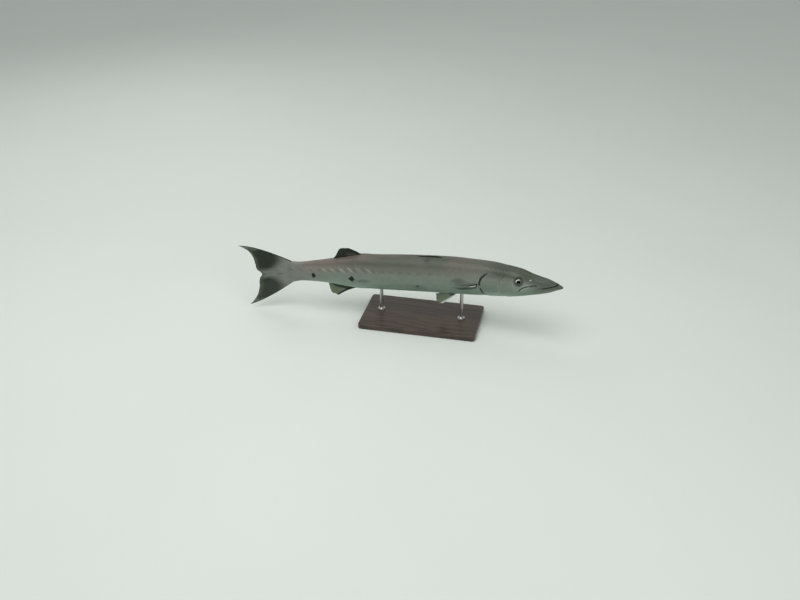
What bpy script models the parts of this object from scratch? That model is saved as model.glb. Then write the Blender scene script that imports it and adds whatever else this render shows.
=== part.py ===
# Great barracuda, a life-size still model on a plain display stand.
# The fish is shaped straight, nose towards +X, and is then bent and pitched into its swimming pose.
# Places on the fish are "aft", the distance behind the tip of the lower jaw, and "up", the height
# above its long axis. The origin is the centre of the stand base's underside, +X is forward.

import math

import bmesh
import bpy
import numpy as np
from mathutils import Vector

# General sizes, in metres
GAP = 0.0003                    # clearance between touching pieces
AROUND = 48                     # points round each section of the body
SQUARENESS = 2.4                # superellipse power of the body's sections
HEAD_TOP_SQUARENESS = 3.0       # the head is flatter across its top
JAW_TAPER = 0.16                # share by which the head narrows towards the chin
HEAD_FADE = (0.20, 0.32)        # aft, where the head's own section turns into the torso's

# Sections of the body: aft, half depth, middle above the axis, half width
SECTIONS = (
    (0.000, 0.0020, -0.0155, 0.0024),
    (0.003, 0.0038, -0.0155, 0.0046),
    (0.008, 0.0058, -0.0153, 0.0071),
    (0.020, 0.0110, -0.0144, 0.0108),
    (0.040, 0.0193, -0.0143, 0.0160),
    (0.071, 0.0272, -0.0148, 0.0225),
    (0.100, 0.0343, -0.0136, 0.0275),
    (0.148, 0.0473, -0.0097, 0.0345),
    (0.188, 0.0527, -0.0086, 0.0385),
    (0.225, 0.0565, -0.0057, 0.0415),
    (0.302, 0.0604, -0.0022, 0.0455),
    (0.380, 0.0625, 0.0000, 0.0470),
    (0.503, 0.0619, 0.0004, 0.0465),
    (0.611, 0.0605, 0.0000, 0.0435),
    (0.688, 0.0585, 0.0010, 0.0385),
    (0.736, 0.0537, 0.0010, 0.0340),
    (0.788, 0.0448, 0.0010, 0.0275),
    (0.842, 0.0384, 0.0013, 0.0205),
    (0.896, 0.0347, 0.0014, 0.0150),
    (0.925, 0.0386, 0.0015, 0.0110),
)
DORSAL_HUMP = (0.675, 0.030, 0.0045)    # aft, spread and height of the fleshy rise before the fin
ANAL_HUMP = (0.690, 0.030, 0.0040)

# Where the body is divided
GILL_EDGE = 0.262               # nominal place of the gill cover's rear edge
GILL_EDGE_AT_HEIGHT = (         # height as a share of the half depth, aft
    (-1.00, 0.2120),
    (-0.85, 0.2455),
    (-0.45, 0.2620),
    (-0.06, 0.2676),
    (0.25, 0.2620),
    (0.60, 0.2404),
    (1.00, 0.2220),
)
TORSO_SPLIT = 0.550
TAIL_STALK_START = 0.815
BODY_END = 0.925

# Head
CHEEK_EDGE = 0.199              # step of the cheek over the gill cover
CHEEK_STEP = 0.040              # share of the radius
GILL_COVER_LIFT = 0.012         # share of the radius
GILL_COVER_STEP = 0.036         # share by which the torso starts inside the gill cover
GAPE_LINE = (                   # the line of the mouth, aft and up, from the tip to the corner
    (0.0182, -0.0052),
    (0.0367, -0.0100),
    (0.0561, -0.0137),
    (0.0800, -0.0175),
    (0.1000, -0.0208),
    (0.1200, -0.0242),
    (0.1400, -0.0275),
)
JAW_HINGE = (0.160, -0.075)
UPPER_JAW_ARCH = (              # upper edge of the plate over the corner of the mouth
    (0.0520, -0.0115),
    (0.0700, -0.0070),
    (0.0842, -0.0050),
    (0.1050, -0.0070),
    (0.1220, -0.0115),
    (0.1340, -0.0190),
    (0.1400, -0.0262),
)
JAW_PLATE_LIFT = 0.0009
JAW_PLATE_HALF_THICKNESS = 0.0014
LIP_RADIUS = 0.0022
LIP_SUNK = 0.3                  # share of the lip's radius that lies inside the skin
SNOUT_LIP = (                   # the lip's way round the snout, from the left side to the right
    (-0.0215, 0.0078, -0.0066),
    (-0.0192, 0.0000, -0.0066),
    (-0.0215, -0.0078, -0.0066),
)
EYE_CENTRE = (0.140, 0.0082)
EYE_RADIUS = 0.0130
EYE_HALF_THICKNESS = 0.0080
EYE_SUNK = 0.0051               # depth of the eye's centre below the skin
NOSTRILS = (                    # aft, up, radius
    (0.0945, 0.0120, 0.0011),
    (0.1015, 0.0145, 0.0017),
)

# Fins. Each has a row of rays, and v is a ray's share of the way along the fin.
# Thickness gives the half thickness at the root and at the margin, and the height of the rays.
FIN_TAPER = 1.6                 # power by which a fin thins towards its margin
MEDIAN_FINS = {
    "dorsal_fin_front": {       # five spines folded back into a low ridge
        "above": True, "rays": 5, "rows": 4, "lean": 0.50, "bow": 0.12,
        "thickness": (0.0022, 0.0006, 0.0004),
        "root": 0.398, "root_length": 0.068, "tip": 0.422, "tip_length": 0.070,
        "sweep": 0.0, "sweep_span": (0.0, 1.0),
        "height": 0.0046, "rise": 0.0, "fall": 0.0022, "fall_from": 0.0,
    },
    "dorsal_fin_rear": {
        "above": True, "rays": 10, "rows": 7, "lean": 0.45, "bow": 0.12,
        "thickness": (0.0026, 0.0003, 0.0005),
        "root": 0.679, "root_length": 0.0965, "tip": 0.716, "tip_length": 0.039,
        "sweep": 0.022, "sweep_span": (-0.2, 0.5),
        "height": 0.0225, "rise": 0.0150, "fall": 0.0340, "fall_from": 0.30,
    },
    "anal_fin": {
        "above": False, "rays": 10, "rows": 7, "lean": 0.50, "bow": -0.26,
        "thickness": (0.0026, 0.0003, 0.0005),
        "root": 0.698, "root_length": 0.104, "tip": 0.772, "tip_length": 0.002,
        "sweep": 0.030, "sweep_span": (-0.3, 1.0),
        "height": 0.0335, "rise": 0.0020, "fall": 0.0285, "fall_from": 0.56,
    },
}
TAIL_FIN = {
    "rays": 9, "rows": 11, "thickness": (0.0016, 0.0003, 0.0005),
    "notch": 1.0325, "bulge_spread": 0.12,
    "stem": 0.0088, "stem_length": 0.13, "stem_thinning": 0.85,
}
TAIL_LOBES = {                  # the upper lobe is the longer one
    "upper": {"side": 1, "root": 0.0390, "spread": 0.1146, "sweep": 0.0482, "sweep_power": 4.2,
              "bulge": 0.0165, "lean": 0.733, "bow": 0.0735},
    "lower": {"side": -1, "root": 0.0345, "spread": 0.1120, "sweep": 0.0437, "sweep_power": 3.1,
              "bulge": 0.0120, "lean": 0.645, "bow": 0.0690},
}
PECTORAL_FIN = {                # places are aft, up, and out from the flank
    "rays": 10, "rows": 7, "thickness": (0.0018, 0.0003, 0.0004), "end_power": 1.3,
    "root": (0.2765, -0.0060), "root_slant": (0.0050, -0.0140), "bow": (0.0005, 0.0, 0.0085),
    "end": (0.3630, -0.0145, 0.0150), "end_slant": (-0.0360, -0.0115, -0.0060),
}
PELVIC_FIN = {
    "rays": 7, "rows": 8, "thickness": (0.0016, 0.0003, 0.0004), "spread": 0.0140,
    "root": 0.3520, "root_length": 0.024, "length": 0.0556, "shortening": 0.0036, "bulge": 0.090,
    "steepest": 34.1, "flattest": 3.6, "turn_power": 1.35,
    "flare": 0.40, "bow": (0.008, 0.0006, -0.009), "bow_loss": 0.95,
}

# Pose
BEND_START = 0.550              # aft of this point the tail sweeps further to the right
BEND_RADIUS = 4.07
TAIL_SWEEP = 1.63               # radians per cubic metre aft of the bend's start
PITCH = math.radians(4.2)
STAND_AFT = 0.470               # place on the fish above the middle of the base
AXIS_HEIGHT = 0.172
SIDE_SHIFT = 0.012

# Stand
BASE_LENGTH = 0.400
BASE_WIDTH = 0.220
BASE_THICKNESS = 0.018
BASE_EDGE = 0.003
ROD_RADIUS = 0.006
ROD_COLLAR_RADIUS = 0.013
ROD_COLLAR_HEIGHT = 0.004
ROD_PLACES = (("front", 0.335), ("rear", 0.615))
ROD_SUNK = 0.014                # length of rod inside the belly


def smooth_curve(stations, column):
    """A smooth monotone curve through one column of a list of stations."""
    places = np.array([row[0] for row in stations], float)
    values = np.array([row[column] for row in stations], float)
    steps = np.diff(places)
    slopes = np.diff(values) / steps
    tangents = np.zeros_like(values)
    tangents[0] = slopes[0]
    tangents[-1] = slopes[-1]
    for i in range(1, len(places) - 1):
        if slopes[i - 1] * slopes[i] > 0:
            before = 2 * steps[i] + steps[i - 1]
            after = steps[i] + 2 * steps[i - 1]
            tangents[i] = (before + after) / (before / slopes[i - 1] + after / slopes[i])

    def value_at(place):
        place = np.clip(np.asarray(place, float), places[0], places[-1])
        i = np.clip(np.searchsorted(places, place, side="right") - 1, 0, len(places) - 2)
        t = (place - places[i]) / steps[i]
        start = (1 + 2 * t) * (1 - t) ** 2 * values[i] + t * (1 - t) ** 2 * steps[i] * tangents[i]
        end = t * t * (3 - 2 * t) * values[i + 1] - t * t * (1 - t) * steps[i] * tangents[i + 1]
        return start + end

    return value_at


half_depth = smooth_curve(SECTIONS, 1)
middle_up = smooth_curve(SECTIONS, 2)
half_width = smooth_curve(SECTIONS, 3)
gill_edge_aft = smooth_curve(GILL_EDGE_AT_HEIGHT, 1)


def smooth_step(value, low, high):
    """0 below low, 1 above high, smooth between."""
    t = np.clip((np.asarray(value, float) - low) / (high - low), 0, 1)
    return t * t * (3 - 2 * t)


def hump(aft, centre, spread, height):
    """A bell-shaped rise along the body."""
    return height * np.exp(-(((aft - centre) / spread) ** 2))


def back_up(aft):
    """Height of the middle of the back."""
    return middle_up(aft) + half_depth(aft) + hump(aft, *DORSAL_HUMP)


def belly_up(aft):
    """Height of the middle of the belly."""
    return middle_up(aft) - half_depth(aft) - hump(aft, *ANAL_HUMP)


def squareness(aft, above):
    """Superellipse power of a section, above or below its middle."""
    head = 1 - smooth_step(aft, *HEAD_FADE)
    return SQUARENESS + (HEAD_TOP_SQUARENESS - SQUARENESS) * head * above


def jaw_narrowing(aft, share):
    """Factor on the width of the head, below its middle, at a share of the half depth."""
    head = 1 - smooth_step(aft, *HEAD_FADE)
    return 1 - JAW_TAPER * head * np.clip(-share, 0, 1) ** 1.5


def flank_width(aft, up):
    """Half width of the body at a height."""
    share = np.clip((up - middle_up(aft)) / half_depth(aft), -0.999, 0.999)
    power = squareness(aft, share > 0)
    width = half_width(aft) * (1 - np.abs(share) ** power) ** (1 / power)
    return width * jaw_narrowing(aft, share)


def skin(aft, turn, swell=1.0):
    """Points on the body's surface, turn going from the left side up over the back."""
    side = np.cos(turn)
    rise = np.sin(turn)
    power = squareness(aft, rise > 0)
    across = np.sign(side) * np.abs(side) ** (2 / power)
    height = np.sign(rise) * np.abs(rise) ** (2 / power)
    y = half_width(aft) * across * jaw_narrowing(aft, height) * swell
    z = middle_up(aft) + half_depth(aft) * height * swell
    z = z + hump(aft, *DORSAL_HUMP) * np.clip(rise, 0, 1) ** 8
    z = z - hump(aft, *ANAL_HUMP) * np.clip(-rise, 0, 1) ** 8
    return np.stack(np.broadcast_arrays(-aft, y, z), axis=-1)


def new_collection(name):
    collection = bpy.data.collections.new(name)
    bpy.context.scene.collection.children.link(collection)
    return collection


def new_material(name, colour, roughness, metallic=0.0):
    material = bpy.data.materials.new(name)
    material.use_nodes = True
    shader = material.node_tree.nodes["Principled BSDF"]
    shader.inputs["Base Color"].default_value = (*colour, 1.0)
    shader.inputs["Roughness"].default_value = roughness
    shader.inputs["Metallic"].default_value = metallic
    material.diffuse_color = (*colour, 1.0)
    return material


def new_object(name, vertices, faces, collection, finish=None):
    """A mesh object, its faces turned outwards."""
    mesh = bpy.data.meshes.new(name)
    mesh.from_pydata([tuple(v) for v in vertices], [], [tuple(f) for f in faces])
    work = bmesh.new()
    work.from_mesh(mesh)
    if work.calc_volume(signed=True) < 0:
        bmesh.ops.reverse_faces(work, faces=work.faces)
    work.to_mesh(mesh)
    work.free()
    obj = bpy.data.objects.new(name, mesh)
    collection.objects.link(obj)
    if finish:
        paint(obj, *finish)
    return obj


def paint(obj, colour, roughness, metallic=0.0):
    """Give an object its own material and smooth shading with sharp corners."""
    obj.data.materials.clear()
    obj.data.materials.append(new_material(obj.name, colour, roughness, metallic))
    obj.data.shade_smooth()
    obj.data.set_sharp_from_angle(angle=math.radians(35))


def loft(rings, front_hub, rear_hub):
    """Faces of a closed body through rings, each end closed by a fan."""
    count, around = rings.shape[:2]
    vertices = np.vstack([rings.reshape(-1, 3), front_hub, rear_hub])
    front, rear = count * around, count * around + 1
    faces = []
    for j in range(around):
        k = (j + 1) % around
        faces.append((front, j, k))
        for i in range(count - 1):
            a, b = i * around + j, i * around + k
            faces.append((a, a + around, b + around, b))
        last = (count - 1) * around
        faces.append((rear, last + k, last + j))
    return vertices, faces


def blade(centre, half_thickness, root_side=None):
    """A thin closed fin round a grid of middle points, both faces split into triangles alike.

    root_side, where given, is the direction of one face at the root, so that the root's edge
    lies flat on what carries it.
    """
    rows, columns = centre.shape[:2]
    along = np.gradient(centre, axis=0)
    across = np.gradient(centre, axis=1)
    normal = np.cross(along, across)
    normal /= np.linalg.norm(normal, axis=-1, keepdims=True)
    if root_side is not None:
        normal[0] = np.sign(normal[0] @ root_side)[:, None] * root_side
    offset = normal * half_thickness[..., None]
    vertices = np.vstack([(centre + offset).reshape(-1, 3), (centre - offset).reshape(-1, 3)])
    other = rows * columns
    faces = []
    for r in range(rows - 1):
        for c in range(columns - 1):
            a = r * columns + c
            corners = (a, a + 1, a + columns + 1, a + columns)
            for triangle in ((0, 1, 2), (0, 2, 3)):
                near = [corners[i] for i in triangle]
                faces.append(near)
                faces.append([other + i for i in reversed(near)])
    rim = list(range(columns))
    rim += [r * columns + columns - 1 for r in range(1, rows)]
    rim += [(rows - 1) * columns + c for c in range(columns - 2, -1, -1)]
    rim += [r * columns for r in range(rows - 2, 0, -1)]
    for a, b in zip(rim, rim[1:] + rim[:1]):
        faces.append((b, a, other + a))
        faces.append((b, other + a, other + b))
    return vertices, faces


def ray_grid(rays, rows):
    """Row and column parameters of a fin, with a column on each ray and one between."""
    along, across = np.meshgrid(
        np.linspace(0, 1, rows), np.linspace(0, 1, 2 * rays - 1), indexing="ij"
    )
    on_ray = np.zeros_like(across)
    on_ray[:, ::2] = 1
    return along, across, on_ray


def quadratic(start, control, end, t):
    """A quadratic curve between two points, steered by a third."""
    t = t[..., None]
    return (1 - t) ** 2 * start + 2 * t * (1 - t) * control + t * t * end


def fin_thickness(along, on_ray, root, margin, ridge):
    """Half thickness of a fin: a taper, with each ray raised in the membrane's own surface."""
    taper = margin + (root - margin) * (1 - along) ** FIN_TAPER
    fade = np.sin(np.pi * np.clip(along * 0.92 + 0.08, 0, 1)) ** 0.6
    return taper + ridge * on_ray * fade


def settle(obj):
    """Apply an object's modifiers and drop them."""
    evaluated = obj.evaluated_get(bpy.context.evaluated_depsgraph_get())
    mesh = bpy.data.meshes.new_from_object(evaluated)
    obj.modifiers.clear()
    obj.data = mesh


def boolean(obj, other, operation):
    """Cut, join or intersect with another object and apply it."""
    modifier = obj.modifiers.new(operation.lower(), "BOOLEAN")
    modifier.operation = operation
    modifier.solver = "EXACT"
    modifier.object = other
    settle(obj)
    keep_largest_shell(obj)


def keep_largest_shell(obj):
    """Remove every closed surface but the largest."""
    work = bmesh.new()
    work.from_mesh(obj.data)
    remaining = set(work.verts)
    shells = []
    while remaining:
        shell = set()
        front = [remaining.pop()]
        while front:
            vertex = front.pop()
            shell.add(vertex)
            for edge in vertex.link_edges:
                neighbour = edge.other_vert(vertex)
                if neighbour in remaining:
                    remaining.discard(neighbour)
                    front.append(neighbour)
        shells.append(shell)
    largest = max(shells, key=len)
    scraps = [v for shell in shells if shell is not largest for v in shell]
    if scraps:
        bmesh.ops.delete(work, geom=scraps, context="VERTS")
    work.to_mesh(obj.data)
    work.free()


def as_cutter(obj):
    """Leave a cutter out of the model."""
    obj.hide_render = True
    obj.display_type = "WIRE"
    return obj


def ball(name, centre, radii, direction, collection, segments=24):
    """An ellipsoid whose third radius lies along a direction."""
    mesh = bpy.data.meshes.new(name)
    work = bmesh.new()
    bmesh.ops.create_uvsphere(work, u_segments=segments, v_segments=segments // 2, radius=1.0)
    turn = Vector(direction).to_track_quat("Z", "Y").to_matrix()
    for vertex in work.verts:
        stretched = Vector(np.array(vertex.co) * radii)
        vertex.co = turn @ stretched + Vector(centre)
    work.to_mesh(mesh)
    work.free()
    obj = bpy.data.objects.new(name, mesh)
    collection.objects.link(obj)
    return obj


# Pose of the whole fish
def spine():
    """Plan of the fish's axis: places, and the axis's x, y and turn to the right there."""
    places = np.linspace(0.0, 1.2, 1201)
    ahead = BEND_START - places
    turn = ahead / BEND_RADIUS + TAIL_SWEEP * np.minimum(ahead, 0) ** 3
    step = places[1] - places[0]
    x = -np.cumsum(np.cos(turn)) * step
    y = np.cumsum(np.sin(turn)) * step
    x -= np.interp(STAND_AFT, places, x)
    y -= np.interp(BEND_START, places, y)
    return places, x, y, turn


SPINE = spine()


def posed(points):
    """Carry points of the straight fish into the bent and pitched one."""
    places, spine_x, spine_y, spine_turn = SPINE
    aft = -points[:, 0]
    turn = np.interp(aft, places, spine_turn)
    x = np.interp(aft, places, spine_x) + points[:, 1] * np.sin(turn)
    y = np.interp(aft, places, spine_y) + points[:, 1] * np.cos(turn)
    z = points[:, 2]
    cos, sin = math.cos(PITCH), math.sin(PITCH)
    return np.stack(
        [x * cos - z * sin, y + SIDE_SHIFT, x * sin + z * cos + AXIS_HEIGHT], axis=1
    )


def pose(obj):
    """Move an object's points from the straight fish to the posed one."""
    count = len(obj.data.vertices)
    flat = np.empty(count * 3)
    obj.data.vertices.foreach_get("co", flat)
    obj.data.vertices.foreach_set("co", posed(flat.reshape(-1, 3)).ravel())
    obj.data.update()


# Body
def turns():
    """Angles of the points round a section."""
    return np.linspace(0, 2 * np.pi, AROUND, endpoint=False)


def share_of_height(turn):
    """Height on a section as a share of its half depth."""
    rise = np.sin(turn)
    return np.sign(rise) * np.abs(rise) ** (2 / SQUARENESS)


def gill_side(turn):
    """1 where the gill cover stands free of the torso, 0 on the nape."""
    return 1 - smooth_step(share_of_height(turn), 0.35, 0.85)


def gill_shift(turn):
    """How far the gill cover's edge lies behind or before its nominal place."""
    return gill_edge_aft(share_of_height(turn)) - GILL_EDGE


def torso_inset(aft):
    """Share by which the torso lies in behind the gill cover, fading away aft."""
    return GILL_COVER_STEP * 0.8 * (1 - smooth_step(aft, GILL_EDGE, 0.31))


def head_rim():
    """The ring of points where the head ends."""
    turn = turns()
    swell = 1 + GILL_COVER_LIFT * gill_side(turn)
    return skin(GILL_EDGE + gill_shift(turn), turn, swell)


def make_head_form(collection):
    """The whole head with its jaw, from the tip of the jaw to the gill cover's edge."""
    turn = turns()
    nominal = np.concatenate([
        [0.0, 0.003, 0.008, 0.014],
        np.arange(0.022, 0.190, 0.014),
        [CHEEK_EDGE, CHEEK_EDGE + 0.0015, 0.214, 0.230, 0.246],
    ])
    rings = []
    for aft in nominal:
        shift = gill_shift(turn) * smooth_step(aft, 0.10, GILL_EDGE)
        rise = GILL_COVER_LIFT * smooth_step(aft, 0.10, CHEEK_EDGE)
        step = CHEEK_STEP * (aft > CHEEK_EDGE) * (1 - smooth_step(aft, CHEEK_EDGE, GILL_EDGE))
        rings.append(skin(aft + shift, turn, 1 + (rise - step) * gill_side(turn)))
    rings.append(head_rim())
    rings = np.array(rings)
    front_hub = (0.0008, 0, middle_up(0.0))
    rear_hub = (-GILL_EDGE, 0, middle_up(GILL_EDGE))
    return new_object("head", *loft(rings, front_hub, rear_hub), collection)


def gape_outline(clearance):
    """Side outline of all that lies below the mouth line, a clearance above it."""
    line = [(0.0182 + clearance, 0.030)]
    line += [(aft + clearance * (i == 0), up + clearance) for i, (aft, up) in enumerate(GAPE_LINE)]
    hinge_aft, hinge_up = JAW_HINGE
    corner_aft, corner_up = line.pop()
    line += [(corner_aft + clearance, corner_up), (hinge_aft + clearance, hinge_up)]
    line += [(-0.010, hinge_up), (-0.010, 0.030)]
    return line


def make_gape_cutter(name, clearance, collection):
    """The mouth's outline as a block right across the head."""
    outline = gape_outline(clearance)
    count = len(outline)
    vertices = [(-aft, side, up) for side in (-0.06, 0.06) for aft, up in outline]
    faces = [tuple(range(count)), tuple(range(2 * count - 1, count - 1, -1))]
    for i in range(count):
        j = (i + 1) % count
        faces.append((i, i + count, j + count, j))
    return as_cutter(new_object(name, vertices, faces, collection))


def make_lips(collection):
    """A roll along both sides of the mouth line and round the snout."""
    sunk = LIP_SUNK * LIP_RADIUS
    side = [(aft, flank_width(aft, up) - sunk, up) for aft, up in GAPE_LINE[1:]]
    route = [(-aft, y, up) for aft, y, up in reversed(side)]
    route += SNOUT_LIP
    route += [(-aft, -y, up) for aft, y, up in side]
    curve = bpy.data.curves.new("lips", "CURVE")
    curve.dimensions = "3D"
    curve.bevel_depth = LIP_RADIUS
    curve.bevel_resolution = 2
    curve.use_fill_caps = True
    spline = curve.splines.new("POLY")
    spline.points.add(len(route) - 1)
    for i, (point, place) in enumerate(zip(spline.points, route)):
        point.co = (*place, 1.0)
        point.radius = 0.55 + 0.45 * math.sin(math.pi * i / (len(route) - 1)) ** 0.5
    tube = bpy.data.objects.new("lips_tube", curve)
    collection.objects.link(tube)
    mesh = bpy.data.meshes.new_from_object(
        tube.evaluated_get(bpy.context.evaluated_depsgraph_get())
    )
    bpy.data.objects.remove(tube)
    work = bmesh.new()
    work.from_mesh(mesh)
    bmesh.ops.remove_doubles(work, verts=work.verts, dist=0.00001)
    bmesh.ops.recalc_face_normals(work, faces=work.faces)
    work.to_mesh(mesh)
    work.free()
    lips = bpy.data.objects.new("lips", mesh)
    collection.objects.link(lips)
    return lips


def make_jaw_plate(side, collection):
    """The bony plate of the upper jaw that widens towards the corner of the mouth."""
    arch = np.array(UPPER_JAW_ARCH)
    aft = np.linspace(arch[0, 0], arch[-1, 0], 15)
    top = np.interp(aft, arch[:, 0], arch[:, 1])
    gape = np.array(GAPE_LINE)
    bottom = np.interp(aft, gape[:, 0], gape[:, 1]) + GAP * 2
    share = np.linspace(0, 1, 4)[:, None]
    up = bottom + (top - bottom) * share
    aft = np.broadcast_to(aft, up.shape)
    out = flank_width(aft, up) + JAW_PLATE_LIFT - JAW_PLATE_HALF_THICKNESS
    centre = np.stack([-aft, side * out, up], axis=-1)
    thickness = np.full(up.shape, JAW_PLATE_HALF_THICKNESS)
    return new_object("jaw_plate", *blade(centre, thickness), collection)


def eye_facing(side):
    """Direction that an eye looks in, square to the skin."""
    aft, up = EYE_CENTRE
    step = 0.002
    slope_up = (flank_width(aft, up + step) - flank_width(aft, up - step)) / (2 * step)
    slope_aft = (flank_width(aft + step, up) - flank_width(aft - step, up)) / (2 * step)
    return Vector((slope_aft, side, -slope_up)).normalized()


def eye_ball(name, side, clearance, collection):
    aft, up = EYE_CENTRE
    facing = eye_facing(side)
    on_skin = Vector((-aft, side * flank_width(aft, up), up))
    centre = on_skin - facing * EYE_SUNK
    radius = EYE_RADIUS + clearance
    radii = (radius, radius, EYE_HALF_THICKNESS + clearance)
    return ball(name, centre, radii, facing, collection)


def make_head(parts, cutters):
    """Head and lower jaw, with lips, nostrils and eye sockets."""
    head = make_head_form(parts)
    for form in [make_lips(cutters)] + [make_jaw_plate(side, cutters) for side in (1, -1)]:
        boolean(head, form, "UNION")
        bpy.data.objects.remove(form)
    jaw = bpy.data.objects.new("lower_jaw", head.data.copy())
    parts.objects.link(jaw)
    boolean(jaw, make_gape_cutter("jaw_outline", 0.0, cutters), "INTERSECT")
    boolean(head, make_gape_cutter("gape_outline", GAP, cutters), "DIFFERENCE")
    for side, name in ((1, "left"), (-1, "right")):
        socket = as_cutter(eye_ball("socket_" + name, side, GAP, cutters))
        boolean(head, socket, "DIFFERENCE")
        for i, (aft, up, radius) in enumerate(NOSTRILS):
            place = (-aft, side * flank_width(aft, up), up)
            pit = ball(f"nostril_{name}_{i}", place, (radius,) * 3, (0, 0, 1), cutters, 12)
            boolean(head, as_cutter(pit), "DIFFERENCE")
        eye = eye_ball("eye_" + name, side, 0.0, parts)
        paint(eye, (0.30, 0.30, 0.24), 0.15)
        pose(eye)
    paint(head, (0.12, 0.13, 0.10), 0.45)
    paint(jaw, (0.13, 0.16, 0.13), 0.45)
    pose(head)
    pose(jaw)


def make_body_length(name, start, end, spacing, parts, finish):
    """A stretch of the body between two straight cuts."""
    turn = turns()
    count = max(3, round((end - start) / spacing) + 1)
    places = np.linspace(start + GAP / 2, end - GAP / 2, count)
    rings = np.array([skin(aft, turn) for aft in places])
    front_hub = (-places[0], 0, middle_up(places[0]))
    rear_hub = (-places[-1], 0, middle_up(places[-1]))
    body = new_object(name, *loft(rings, front_hub, rear_hub), parts, finish)
    pose(body)
    return body


def make_torso_front(parts, finish):
    """The torso from inside the gill covers' edge to its middle."""
    turn = turns()
    rim = head_rim()
    hub = np.array((-GILL_EDGE, 0, middle_up(GILL_EDGE)))
    inside = 1 - GILL_COVER_STEP * gill_side(turn)
    first = hub + (rim - hub) * inside[:, None] - np.array((GAP * 1.3, 0, 0))
    rings = [first]
    for nominal in np.concatenate([[0.272, 0.286, 0.304], np.arange(0.325, 0.545, 0.0225)]):
        shift = gill_shift(turn) * (1 - smooth_step(nominal, GILL_EDGE, 0.38))
        rings.append(skin(nominal + shift, turn, 1 - torso_inset(nominal) * gill_side(turn)))
    end = TORSO_SPLIT - GAP / 2
    rings.append(skin(np.full_like(turn, end), turn))
    front_hub = hub - np.array((GAP * 1.3, 0, 0))
    rear_hub = (-end, 0, middle_up(end))
    torso = new_object("torso_front", *loft(np.array(rings), front_hub, rear_hub), parts, finish)
    pose(torso)
    return torso


# Fins
def make_median_fin(name, fin, parts, finish):
    """A fin on the middle line of the back or belly, its rays leaning back."""
    along, across, on_ray = ray_grid(fin["rays"], fin["rows"])
    edge = back_up if fin["above"] else belly_up
    sign = 1 if fin["above"] else -1
    root_aft = fin["root"] + fin["root_length"] * across
    tip_aft = fin["tip"] + fin["tip_length"] * across
    tip_aft += fin["sweep"] * smooth_step(across, *fin["sweep_span"])
    tip_height = fin["height"] + fin["rise"] * across
    tip_height -= fin["fall"] * smooth_step(across, fin["fall_from"], 1.0)
    root = np.stack([root_aft, edge(root_aft) + sign * GAP * 1.3], axis=-1)
    tip = np.stack([tip_aft, edge(root_aft) + sign * tip_height], axis=-1)
    control = root * (1 - fin["lean"]) + tip * fin["lean"]
    control[..., 1] += sign * fin["bow"] * tip_height
    flat = quadratic(root, control, tip, along)
    centre = np.stack([-flat[..., 0], np.zeros_like(along), flat[..., 1]], axis=-1)
    thickness = fin_thickness(along, on_ray, *fin["thickness"])
    pose(new_object(name, *blade(centre, thickness), parts, finish))


def make_tail_lobe(name, lobe, parts, finish):
    """Half of the forked tail, whose hind margin has a low bulge beside the notch."""
    fin = TAIL_FIN
    along, across, on_ray = ray_grid(fin["rays"], fin["rows"])
    root_up = lobe["root"] * across
    bulge = lobe["bulge"] * (1 - np.exp(-(across / fin["bulge_spread"]) ** 2))
    tip_aft = fin["notch"] + bulge + lobe["sweep"] * across ** lobe["sweep_power"]
    root_aft = np.full_like(across, BODY_END + GAP)
    root = np.stack([root_aft, root_up], axis=-1)
    tip = np.stack([tip_aft, lobe["spread"] * across], axis=-1)
    control_aft = root_aft + lobe["lean"] * (tip_aft - root_aft)
    control = np.stack([control_aft, root_up + lobe["bow"] * across], axis=-1)
    flat = quadratic(root, control, tip, along)
    up = lobe["side"] * (flat[..., 1] + GAP * 0.6)
    centre = np.stack([-flat[..., 0], np.zeros_like(along), up], axis=-1)
    stem = fin["stem"] * (1 - fin["stem_thinning"] * across ** 3)
    stem = stem * np.exp(-along / fin["stem_length"]) * (1 - along)
    thickness = stem + fin_thickness(along, on_ray, *fin["thickness"])
    pose(new_object(name, *blade(centre, thickness), parts, finish))


def make_pectorals(parts, finish):
    """The pectoral fins, close behind the gill covers and laid back along the flanks."""
    fin = PECTORAL_FIN
    along, across, on_ray = ray_grid(fin["rays"], fin["rows"])
    root_aft = fin["root"][0] + fin["root_slant"][0] * across
    root_up = fin["root"][1] + fin["root_slant"][1] * across
    root_out = GAP * 1.5 - torso_inset(root_aft) * flank_width(root_aft, root_up)
    start = np.stack([root_aft, root_up, root_out], axis=-1)
    bend = np.stack([across ** fin["end_power"], across, across], axis=-1)
    end = np.array(fin["end"]) + np.array(fin["end_slant"]) * bend
    path = quadratic(start, start + np.array(fin["bow"]), end, along)
    aft, up, out = path[..., 0], path[..., 1], path[..., 2]
    thickness = fin_thickness(along, on_ray, *fin["thickness"])
    for side, name in ((1, "left"), (-1, "right")):
        centre = np.stack([-aft, side * (flank_width(aft, up) + out), up], axis=-1)
        form = blade(centre, thickness, root_side=np.array((-1.0, 0.0, 0.0)))
        pose(new_object("pectoral_fin_" + name, *form, parts, finish))


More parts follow.
